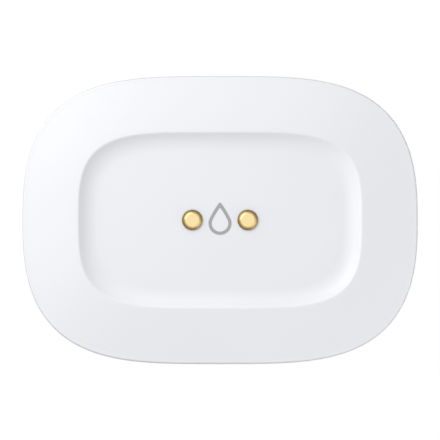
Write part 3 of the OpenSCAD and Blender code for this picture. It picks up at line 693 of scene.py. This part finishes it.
carve(
    base,
    joined=[
        peg(door_radius + SLIP + COLLAR_WALL, inside_z - JOIN, collar_z, (0, 0), COLLAR_AROUND),
        peg(bay_radius + COLLAR_WALL, collar_z - JOIN, bay_top, (0, 0), COLLAR_AROUND),
        peg(flange_radius + SLIP + TUBE_WALL, inside_z - JOIN, tube_z, button_place)]
    + [peg(SCREW_HEAD_RADIUS + POST_WALL + SLIP, inside_z - JOIN, board_low[2], p) for p in screw_places],
    cut=[stack("bay", turned_rows(bay, around=DOOR_AROUND)), *lug_ways, *lug_entries, clip_slot]
    + [stack("well", turned_rows(well, p)) for p in screw_places]
    + [stack("seat", turned_rows(foot_seat, middle(n))) for n in feet]
    + [stack("bore", turned_rows(button_bore, button_place))])
dress(base, "housing", "base_white", "base")

# %% [markdown]
# ## The battery door
# A coin turns the door, so its face has a slot whose floor follows the coin's edge. A box could cut it, but
# the coin itself gives the true curve. The door's rim, the groove of the O-ring and the plug are one turned
# profile, and the three bayonet lugs are parts of a ring. A softened mouth round the slot keeps the edge
# from looking like paper.

# %% Door
DOOR_ROUND = 0.3
DOOR_SEAL = 0.8
COIN_RADIUS, SLOT_WIDTH, SLOT_DEPTH, SLOT_MOUTH = 16.0, 2.0, 1.2, 0.16

quarter = np.radians(np.linspace(0, 90, 7))


def round_edge(radius, low, size):
    """Rounded lower edge of a turned piece: r = radius - s (1 - sin b), z = low + s (1 - cos b)."""
    return np.stack([radius - size * (1 - np.sin(quarter)), low + size * (1 - np.cos(quarter))], axis=1)


seal_low = door_z + (DOOR_PLATE - DOOR_SEAL) / 2
seal_floor = door_radius - DOOR_SEAL + SLIP
door_profile = np.vstack([
    [(door_radius - 2 * DOOR_ROUND, door_z)],
    round_edge(door_radius, door_z, DOOR_ROUND),
    [(door_radius, seal_low), (seal_floor, seal_low), (seal_floor, seal_low + DOOR_SEAL)],
    [(door_radius, seal_low + DOOR_SEAL), (door_radius, plate_z), (plug_radius, plate_z)],
    [(plug_radius, plug_z), (bay_radius, plug_z), (bay_radius, plate_z)],
])
u = np.linspace(0, 2 * np.pi, DOOR_AROUND, endpoint=False)
coin_z = door_z + SLOT_DEPTH - COIN_RADIUS + COIN_RADIUS * np.cos(u)
coin = np.stack([
    np.stack([COIN_RADIUS * np.sin(u), np.full_like(u, y), coin_z], axis=-1)
    for y in (-SLOT_WIDTH / 2, SLOT_WIDTH / 2)])


def slot_half_length(depth):
    """Half the slot's length at a depth below the face, where the coin's edge crosses that level."""
    return np.sqrt(COIN_RADIUS ** 2 - (COIN_RADIUS - SLOT_DEPTH + depth) ** 2)


flare = np.concatenate([[1.0], 1 - np.sin(quarter)])
rise = np.concatenate([[-JOIN], SLOT_MOUTH * (1 - np.cos(quarter))])
slot_throat = slot_half_length(SLOT_MOUTH)
long_half = slot_throat + (slot_half_length(0) - slot_throat + SLOT_MOUTH) * flare
wide_half = SLOT_WIDTH / 2 + SLOT_MOUTH * flare
lead_in = np.stack([
    long_half[:, None] * np.array([-1, 1, 1, -1]), wide_half[:, None] * np.array([-1, -1, 1, 1]),
    np.repeat((door_z + rise)[:, None], 4, axis=1)], axis=-1)
door = stack("door_cap", turned_rows(door_profile, around=DOOR_AROUND))
carve(
    door,
    joined=[sector(plug_radius - PLUG_WALL / 2, lug_radius, lug_z, plug_z, a, LUG_ARC) for a in lug_angles],
    cut=[stack("coin", coin), stack("lead_in", lead_in)])
dress(door, "door", "base_white", "battery_door")

# %% [markdown]
# ## The lock marks
# Small raised marks tell which way the door turns: an arrow on the door, a dot on the base where it is
# locked, and a ring where it comes out. They could be bump in the finish, but what a finger can feel
# belongs in the mesh. Dot and ring are turned profiles, and the arrow is a triangle whose face is a little
# smaller than its foot, as a mould needs.

# %% Lock marks
MARK_HEIGHT, MARK_ROOT, MARK_GAP = 0.14, 0.1, 1.4
POLE_SHARE = 0.05
DOT_RADIUS, RING_RADIUS, RING_HALF = 0.55, 0.65, 0.2
ARROW_RADIUS, ARROW_TAPER, ARROW_INSET = 0.95, 0.8, 1.9


def round_spot(radius, angle):
    """Point in plan at a radius and an angle in degrees about the door's axis."""
    return radius * np.cos(np.radians(angle)), radius * np.sin(np.radians(angle))


mark_reach = door_radius + SLIP + MARK_GAP
locked_angle, open_angle = 90.0, 90.0 - door_turn
t = np.linspace(POLE_SHARE, 1, 9)
dome = np.stack([DOT_RADIUS * t, under_z - MARK_HEIGHT * (1 - t ** 2)], axis=1)
dot_rows = turned_rows(
    np.vstack([dome, [(DOT_RADIUS, under_z + MARK_ROOT)]]), round_spot(mark_reach, locked_angle), 40)
q = np.linspace(np.pi, 2 * np.pi, 9)
bead = np.stack([RING_RADIUS + RING_HALF * np.cos(q), under_z + MARK_HEIGHT * np.sin(q)], axis=1)
root = [(RING_RADIUS + RING_HALF, under_z + MARK_ROOT), (RING_RADIUS - RING_HALF, under_z + MARK_ROOT)]
ring_rows = turned_rows(np.vstack([bead, root]), round_spot(mark_reach, open_angle), 48)
corner = np.radians(locked_angle + 120 * np.arange(3))
arrow_middle = np.array(round_spot(door_radius - ARROW_INSET, locked_angle))
arrow_tips = np.column_stack([np.cos(corner), np.sin(corner)])
arrow_rows = np.stack([
    level_row(arrow_middle + size * arrow_tips, z)
    for size, z in ((ARROW_RADIUS * ARROW_TAPER, door_z - MARK_HEIGHT), (ARROW_RADIUS, door_z + MARK_ROOT))])
dress(stack("lock_dot", dot_rows), "housing", "base_white")
dress(stack("open_ring", ring_rows, ring=True), "housing", "base_white")
dress(stack("door_arrow", arrow_rows), "door", "base_white")

# %% [markdown]
# ## The push button
# A sealed button for pairing sits in the underside, clear of the floor. Its face is hollowed for a
# fingertip. It could be a cylinder with a Bevel modifier, but one turned profile holds all of it: from the
# middle of that hollow out to the rim, past the groove of its O-ring and the flange that keeps it in, to
# the stem that reaches the switch.

# %% Button
BUTTON_ROUND, BUTTON_SEAL, STEM_RADIUS = 0.35, 0.7, 1.5
FINGER_HOLLOW, HOLLOW_INSET, HOLLOW_POWER = 0.3, 0.15, 1.5

hollow_radius = button_radius - BUTTON_ROUND - HOLLOW_INSET
share = np.linspace(POLE_SHARE, 1, 18)
hollow_z = button_z + FINGER_HOLLOW * (1 - share ** 2) ** HOLLOW_POWER
hollow = np.stack([share * hollow_radius, hollow_z], axis=1)
ring_low = button_z + (BUTTON_CAP - BUTTON_SEAL) / 2
ring_floor = button_radius - BUTTON_SEAL + SLIP
button_profile = np.vstack([
    hollow,
    round_edge(button_radius, button_z, BUTTON_ROUND),
    [(button_radius, ring_low), (ring_floor, ring_low), (ring_floor, ring_low + BUTTON_SEAL)],
    [(button_radius, ring_low + BUTTON_SEAL), (button_radius, flange_z), (flange_radius, flange_z)],
    [(flange_radius, flange_z + BUTTON_FLANGE), (STEM_RADIUS, flange_z + BUTTON_FLANGE)],
    [(STEM_RADIUS, button_high[2])],
])
button = stack("button_cap", turned_rows(button_profile, button_place))
dress(button, "button", "button_grey", "connect_button")

# %% [markdown]
# ## The gold contacts
# All six contacts are the same turned pin: a flat head with a wide soft bevel, a shank through the wall and
# a thinner tip for the spring. A Bevel modifier could soften a plain disc, but two arcs and a slope between
# them set where the highlight lies. The floor contacts are the same pin turned upside down, so their
# profile is mirrored and its rows are taken in reverse order, which keeps the faces pointing outwards.

# %% Contacts
HEAD_BEVEL, BEVEL_SLOPE, FLAT_BLEND, RIM_BLEND = 0.86, 33.0, 0.7, 0.12
TIP_RADIUS, TIP_LENGTH, TIP_CHAMFER = 0.7, 0.6, 0.12
FLAT_RINGS = (0.5, 0.05)

pin_length = dish_z - box_mm("drip_contact_left")[0][2]
slope = np.radians(BEVEL_SLOPE)


def blend_arc(start, radius, first, last):
    """Arc of (r, z) inwards and up from a start, while the slope goes from first to last degrees."""
    angle = np.radians(np.linspace(first, last, 9))
    arc = np.stack([np.sin(angle), np.cos(angle)], axis=1)
    return start + radius * (arc - arc[0])


bevel_run = HEAD_BEVEL - FLAT_BLEND * np.sin(slope) - RIM_BLEND * (1 - np.sin(slope))
bevel_drop = FLAT_BLEND * (1 - np.cos(slope)) + bevel_run * np.tan(slope) + RIM_BLEND * np.cos(slope)
rim_arc = blend_arc((head_radius, head_height - bevel_drop), RIM_BLEND, 90, BEVEL_SLOPE)
flat_arc = blend_arc(rim_arc[-1] + bevel_run * np.array([-1, np.tan(slope)]), FLAT_BLEND, BEVEL_SLOPE, 0)
head_rim = np.vstack([rim_arc, flat_arc])
pin_profile = np.vstack([
    [(TIP_RADIUS - TIP_CHAMFER, -pin_length), (TIP_RADIUS, TIP_CHAMFER - pin_length)],
    [(TIP_RADIUS, TIP_LENGTH - pin_length), (SHANK_RADIUS - TIP_CHAMFER, TIP_LENGTH - pin_length)],
    [(SHANK_RADIUS, TIP_LENGTH + TIP_CHAMFER - pin_length), (SHANK_RADIUS, 0), (head_radius - SNUG, 0)],
    [(head_radius, SNUG)],
    head_rim,
    [(ring, head_height) for ring in FLAT_RINGS],
])
for name in ("drip_contact_left", "drip_contact_right", *feet):
    in_dish = name.startswith("drip")
    level = dish_z if in_dish else under_z
    profile = pin_profile * (1, 1 if in_dish else -1) + (0, level)
    rows = turned_rows(profile if in_dish else profile[::-1], middle(name))
    pin = stack(name.replace("contact", "pin"), rows)
    mark_radius(pin, middle(name))
    dress(pin, "housing", "contact_gold", name, sharp=50)

# %% [markdown]
# ## The printed drop
# Between the contacts is the common sign for water, a drop in grey ink. It could be a mask in the cover's
# finish, but a thin closed band keeps its edge crisp and is a real surface. Its edges are two outlines of
# one family: a circle, a much smaller circle above it, and the two lines that touch both. The same slope on
# both outlines keeps the stroke even.

# %% Drop
DROP_RADIUS, DROP_TIP, DROP_STROKE = 1.71, 3.29, 0.56
DROP_MIDDLE = -0.58
DROP_INNER_TIP, DROP_BULGE, INK = 0.07, 0.05, 0.02

tangent = np.arccos(DROP_RADIUS / DROP_TIP)


def drop_outline(radius, tip_radius):
    """Outline round two circles, anticlockwise from the right: a side, the tip, the other side, the bowl. The
    tip's centre is (radius - tip radius) / cos(tangent) above the bowl's, and the sides bulge a little."""
    tip = DROP_MIDDLE + (radius - tip_radius) / np.cos(tangent)
    over = np.linspace(np.pi / 2 - tangent, np.pi / 2 + tangent, 25)
    under = np.linspace(np.pi / 2 + tangent, 5 * np.pi / 2 - tangent, 121)
    top = np.stack([tip_radius * np.cos(over), tip + tip_radius * np.sin(over)], axis=1)
    bowl_line = np.stack([radius * np.cos(under), DROP_MIDDLE + radius * np.sin(under)], axis=1)
    t = np.linspace(0, 1, 26)[1:-1, None]
    outwards = np.array([np.cos(np.pi / 2 - tangent), np.sin(np.pi / 2 - tangent)])
    bulge = 4 * DROP_BULGE * t * (1 - t) * outwards
    right = bowl_line[-1] * (1 - t) + top[0] * t + bulge
    left = top[-1] * (1 - t) + bowl_line[0] * t + bulge * (-1, 1)
    return np.vstack([right, top, left, bowl_line])


outer = drop_outline(DROP_RADIUS + DROP_STROKE / 2, DROP_STROKE / 2)
inner = drop_outline(DROP_RADIUS - DROP_STROKE / 2, DROP_INNER_TIP)
levels = [(outer, -INK), (outer, INK), (inner, INK), (inner, -INK)]
drop_rows = np.stack([level_row(line, dish_z + z) for line, z in levels])
drop = stack("drop_print", drop_rows, ring=True)
dress(drop, "housing", "print_grey")
print("drop", np.round(outer.max(0) - outer.min(0), 2), "mm")

# %% [markdown]
# ## The case screws
# Four screws come up from the underside. Each has a domed head with a cross recess, and a thread. A Screw
# modifier could wind the thread, but as a surface of two parameters it is one formula: the radius rises
# where the height, less the share of the turn, is near a whole number of pitches. One screw is made and
# then repeated at the four places.

# %% Screws
THREAD_PITCH, THREAD_DEPTH, THREAD_SHARP, TIP_SHARE = 0.8, 0.22, 3.2, 0.35
DOME, DOME_POWER = 0.4, 2.2
CROSS_REACH, CROSS_WIDTH, CROSS_DEPTH, CROSS_TAPER = 1.05, 0.42, 0.9, 0.55
CROSS_FLARE, CROSS_LEAD = 1.1, 0.1
SCREW_AROUND = 48

turn = np.linspace(0, 2 * np.pi, SCREW_AROUND, endpoint=False)
dome_share = np.linspace(POLE_SHARE, 1, 12)
dome_z = screw_low[2] + DOME * dome_share ** DOME_POWER
head_dome = np.stack([dome_share * SCREW_HEAD_RADIUS, dome_z], axis=1)
head_side = [(SCREW_HEAD_RADIUS, screw_seat - SNUG), (SCREW_HEAD_RADIUS - SNUG, screw_seat)]
head_rows = turned_rows(np.vstack([head_dome, head_side]), around=SCREW_AROUND)
z = np.linspace(screw_seat, screw_high[2], 150)[:, None]
phase = (z - screw_seat) / THREAD_PITCH - turn / (2 * np.pi)
ridge = np.clip(1 - THREAD_SHARP * np.abs(phase - np.round(phase)), 0, 1)
taper = np.clip((screw_high[2] - z) / (2 * THREAD_PITCH), 0, 1)
grown = np.clip((z - screw_seat) / THREAD_PITCH, 0, 1) * taper
core = (SCREW_RADIUS - THREAD_DEPTH) * (TIP_SHARE + (1 - TIP_SHARE) * np.sqrt(taper))
thread = core + THREAD_DEPTH * ridge * grown
thread_rows = np.stack(
    [thread * np.cos(turn), thread * np.sin(turn), np.broadcast_to(z, thread.shape)], axis=-1)
print("thread of", len(z), "rows, pitch", THREAD_PITCH, "mm")


def cross(reach, width):
    """Corners of a plus sign, anticlockwise: arms of a reach and a width about the middle."""
    arm = np.array([(reach, -width / 2), (reach, width / 2), (width / 2, width / 2)])
    spin = [np.array([[np.cos(q), np.sin(q)], [-np.sin(q), np.cos(q)]]) for q in np.arange(4) * np.pi / 2]
    return np.vstack([arm @ s for s in spin])


def repeat(piece, places):
    """Replaces a piece's mesh by copies of it, shifted in plan to each place."""
    mesh = piece.data
    points = np.zeros(3 * len(mesh.vertices))
    mesh.vertices.foreach_get("co", points)
    points = points.reshape(-1, 3) / MM
    faces = [np.array(polygon.vertices) for polygon in mesh.polygons]
    copies = np.vstack([points + (*place, 0) for place in places])
    corners = [(face + k * len(points)).tolist() for k in range(len(places)) for face in faces]
    bpy.data.objects.remove(piece)
    return make_piece("screw_set", copies, corners)


screw = stack("screw", np.concatenate([head_rows, thread_rows]))
recess = np.stack([
    level_row(cross(CROSS_REACH * k, CROSS_WIDTH * k), screw_low[2] + depth)
    for k, depth in ((CROSS_FLARE, -JOIN), (1, CROSS_LEAD), (CROSS_TAPER, CROSS_DEPTH))])
carve(screw, cut=[stack("recess", recess)])
screws = repeat(screw, screw_places)
dress(screws, "housing", "screw_steel", "case_screws")

# %% [markdown]
# ## The springs under the board
# Coil springs carry the signal from the floor contacts to the board. A bevelled curve could draw them, but
# a circle carried along a helix is a mesh from the start: each row stands square to the wire's run. The
# climb slows at both ends, so the last turns lie nearly flat, as closed ends do.

# %% Floor springs
SPRING_TURNS, ROWS_A_TURN, CLOSED_ENDS = 5, 40, 0.75
WIRE, WIRE_AROUND = 0.4, 12

spring_low, spring_high = box_mm("floor_springs")
foot_places = [middle(name) for name in feet]
coil_radius = spring_high[0] - max(p[0] for p in foot_places) - WIRE / 2


def coil(place):
    """Rows of wire round the helix (R cos q, R sin q, z(t)): out and up are square to its tangent."""
    t = np.linspace(0, 1, SPRING_TURNS * ROWS_A_TURN)
    q = 2 * np.pi * SPRING_TURNS * t
    climb = t - np.sin(2 * np.pi * t) / (2 * np.pi) * CLOSED_ENDS
    run = spring_low[2] + WIRE / 2 + (spring_high[2] - spring_low[2] - WIRE) * climb
    line = np.stack([coil_radius * np.cos(q), coil_radius * np.sin(q), run], axis=1)
    ahead = np.gradient(line, axis=0)
    ahead /= np.linalg.norm(ahead, axis=1)[:, None]
    out = np.stack([np.cos(q), np.sin(q), np.zeros_like(q)], axis=1)
    up = np.cross(ahead, out)
    side = np.linspace(0, 2 * np.pi, WIRE_AROUND, endpoint=False)[None, :, None]
    ring = np.cos(side) * out[:, None] + np.sin(side) * up[:, None]
    return line[:, None] + WIRE / 2 * ring + np.array([*place, 0])


for name, place in zip(feet, foot_places):
    spring = stack(name.replace("floor_contact", "floor_spring"), coil(place))
    dress(spring, "housing", "spring_steel", "floor_springs")

# %% [markdown]
# ## The pieces that keep their CAD meshes
# Seals, rings, the coin cell, the board and what stands on it are exact in the CAD model. They could be
# made again, but nothing would look better for it, so they stay as they are and only take the finish of
# their slot in the record.

# %% CAD pieces
slots = {part["node"]: part["material_slot"] for part in frame["record"]["subparts"]}
kept = [name for name, node in nodes.items() if not node.hide_render]
for name in kept:
    for holder in nodes[name].material_slots:
        holder.material = finishes[slots[name]]
print("CAD meshes kept:", ", ".join(kept))

# %% [markdown]
# ## Light, floor and background
# The photograph has a white background and soft light that is stronger from the upper left. More light
# could make the background white, but it would flood the object too. So the world and the floor tell the
# rays that show the background, which are camera, glossy and transmitted rays, apart from the rays that
# light the object.

# %% Light path helper
def seen_directly(tree):
    """Largest of Is Camera, Is Glossy and Is Transmission: 1 for a ray that shows the background."""
    path = tree.nodes.new("ShaderNodeLightPath")
    value = path.outputs["Is Camera Ray"]
    for name in ("Is Glossy Ray", "Is Transmission Ray"):
        larger = tree.nodes.new("ShaderNodeMath")
        larger.operation = "MAXIMUM"
        tree.links.new(value, larger.inputs[0])
        tree.links.new(path.outputs[name], larger.inputs[1])
        value = larger.outputs[0]
    return value


print("light path helper ready")

# %% [markdown]
# The room lights the object from all round, and more from the upper left than from the lower right. It
# could be a box of white walls, but a world whose strength grows evenly with the direction has no edges to
# show. Rays that show the background see plain white.

# %% World
AMBIENT = 0.74
ROOM_SLOPE, ROOM_AIM = 0.74, (153, 0)


def aim(azimuth, height):
    """Direction of an azimuth and a height in degrees: (cos az cos h, sin az cos h, sin h)."""
    az, el = np.radians((azimuth, height))
    return np.array([np.cos(az) * np.cos(el), np.sin(az) * np.cos(el), np.sin(el)])


scene = bpy.context.scene
scene.view_settings.view_transform = "Standard"
world = bpy.data.worlds.new("white_room")
scene.world = world
world.use_nodes = True
room_tree = world.node_tree
direction = room_tree.nodes.new("ShaderNodeTexCoord")
towards = room_tree.nodes.new("ShaderNodeVectorMath")
towards.operation = "DOT_PRODUCT"
towards.inputs[1].default_value = aim(*ROOM_AIM)
room_tree.links.new(direction.outputs["Generated"], towards.inputs[0])
dim = AMBIENT * (1 - ROOM_SLOPE)
bright = AMBIENT * (1 + ROOM_SLOPE)
graded = spread(room_tree, towards.outputs["Value"], dim, bright, -1, 1)
strength = room_tree.nodes.new("ShaderNodeMix")
strength.inputs["B"].default_value = 1.0
room_tree.links.new(seen_directly(room_tree), strength.inputs["Factor"])
room_tree.links.new(graded, strength.inputs["A"])
background = room_tree.nodes["Background"]
background.inputs["Color"].default_value = (1, 1, 1, 1)
room_tree.links.new(strength.outputs["Result"], background.inputs["Strength"])
print("room of strength", AMBIENT, "for the object and 1 for the eye")

# %% [markdown]
# Two lamps add what the room's even slope can't: a key lamp at the upper left, which draws the highlight on
# the gold, and a broad low fill lamp at the lower right, which lightens what faces away from the key.
# Distant sun lamps could do it, but wide ovals close by give softer shading.

# %% Lamps
LAMP_DISTANCE = 120.0


def soft_lamp(name, azimuth, height, width, depth, power):
    """An oval lamp that faces the dish from an azimuth and a height in degrees, at the lamps' distance."""
    to_lamp = aim(azimuth, height)
    data = bpy.data.lights.new(name, "AREA")
    data.shape = "ELLIPSE"
    data.size = width * MM
    data.size_y = depth * MM
    data.energy = power
    made = bpy.data.objects.new(name, data)
    made.location = (to_lamp * LAMP_DISTANCE + (0, 0, dish_z)) * MM
    made.rotation_mode = "QUATERNION"
    made.rotation_quaternion = Vector(-to_lamp).to_track_quat("-Z", "Y")
    scene.collection.objects.link(made)
    print(name, "at", np.round(made.location, 3), "of", power, "W")


soft_lamp("key_lamp", 138, 40, 150, 30, 0.04)
soft_lamp("fill_lamp", -32, 8, 220, 64, 0.042)

# %% [markdown]
# The sensor stands on a pale floor that ends in white. A matte floor could be lit until it is white, but
# that takes more light. So the floor is mostly a white glow to the eye, with a little matte that takes the
# shadow, and more of it under the body, where a low view shows a contact shadow. To the object it sends a
# glow that grows to the right, and from below it can be seen through, so that the feet and the door can be
# looked at.

# %% Floor
FLOOR_SIZE = 1500.0
FLOOR_WHITE, UNDER_WHITE, UNDER_REACH = 0.92, 0.45, (0.75, 1.02)
GLOW_LEFT, GLOW_RIGHT, GLOW_REACH = 0.4, 0.8, 60.0
MATTE_GREY, WHITE_STRENGTH = 0.9, 1.03

half = FLOOR_SIZE / 2
floor_corners = [(-half, -half, 0), (half, -half, 0), (half, half, 0), (-half, half, 0)]
floor = make_piece("floor", floor_corners, [[0, 1, 2, 3]])
floor_paint = bpy.data.materials.new("floor_paint")
floor_paint.use_nodes = True
floor_tree = floor_paint.node_tree
floor_tree.nodes.remove(floor_tree.nodes["Principled BSDF"])


def shader_node(kind, **values):
    """A shader of the floor with its values set."""
    node = floor_tree.nodes.new(kind)
    for socket, value in values.items():
        node.inputs[socket].default_value = value
    return node.outputs[0]


def blend_shaders(factor, first, second):
    """First shader where the factor is 0 and second where it is 1."""
    node = floor_tree.nodes.new("ShaderNodeMixShader")
    floor_tree.links.new(factor, node.inputs["Fac"])
    floor_tree.links.new(first, node.inputs[1])
    floor_tree.links.new(second, node.inputs[2])
    return node.outputs[0]


matte = shader_node("ShaderNodeBsdfDiffuse", Color=(MATTE_GREY, MATTE_GREY, MATTE_GREY, 1))
white = shader_node("ShaderNodeEmission", Strength=WHITE_STRENGTH)
glow = shader_node("ShaderNodeEmission")
sideways = floor_tree.nodes.new("ShaderNodeSeparateXYZ")
floor_tree.links.new(millimetres(floor_tree), sideways.inputs["Vector"])
brighter = spread(floor_tree, sideways.outputs["X"], GLOW_LEFT, GLOW_RIGHT, -GLOW_REACH, GLOW_REACH)
floor_tree.links.new(brighter, glow.node.inputs["Strength"])
clear = shader_node("ShaderNodeBsdfTransparent")
facing = floor_tree.nodes.new("ShaderNodeNewGeometry")
outwards = floor_tree.nodes.new("ShaderNodeVectorMath")
outwards.operation = "LENGTH"
floor_tree.links.new(millimetres(floor_tree, (1 / half_length, 1 / half_width, 1)), outwards.inputs[0])
whiteness = spread(floor_tree, outwards.outputs["Value"], UNDER_WHITE, FLOOR_WHITE, *UNDER_REACH)
shown = blend_shaders(seen_directly(floor_tree), glow, blend_shaders(whiteness, matte, white))
seen = blend_shaders(facing.outputs["Backfacing"], shown, clear)
floor_tree.links.new(seen, floor_tree.nodes["Material Output"].inputs["Surface"])
floor.data.materials.append(floor_paint)
print("floor of", FLOOR_SIZE, "mm, white to the eye and glowing to the object")

# %% [markdown]
# Gold that mirrors nothing but white looks like cream. In a studio, dark cards round the table give it its
# contrast. Dark patches of the world could do the same, but they would dim the plastic too. So a ring of
# grey stands far out, and only reflections can see it.

# %% Dark cards
CARD_DISTANCE, CARD_LOW, CARD_HIGH = 420.0, 4.0, 30.0
CARD_GREY, CARD_SIDES = 0.35, 72

card_turn = np.radians(np.linspace(0, 360, CARD_SIDES + 1))[:-1]
card_plan = CARD_DISTANCE * np.column_stack([np.cos(card_turn), np.sin(card_turn)])
card_levels = dish_z + CARD_DISTANCE * np.tan(np.radians((CARD_LOW, CARD_HIGH)))
card_rows = np.stack([level_row(card_plan, z) for z in card_levels])
here = np.arange(CARD_SIDES)
beside = np.roll(here, -1)
card_faces = np.stack([here, beside, beside + CARD_SIDES, here + CARD_SIDES], axis=-1).tolist()
cards = make_piece("dark_cards", card_rows.reshape(-1, 3), card_faces)
card_paint = bpy.data.materials.new("card_paint")
card_paint.use_nodes = True
card_tree = card_paint.node_tree
card_glow = card_tree.nodes.new("ShaderNodeEmission")
card_glow.inputs["Strength"].default_value = CARD_GREY
card_tree.links.new(card_glow.outputs[0], card_tree.nodes["Material Output"].inputs["Surface"])
cards.data.materials.append(card_paint)
cards.visible_camera = cards.visible_diffuse = cards.visible_shadow = cards.visible_transmission = False
print("cards from", *np.round(card_levels), "mm up, seen by reflections only")
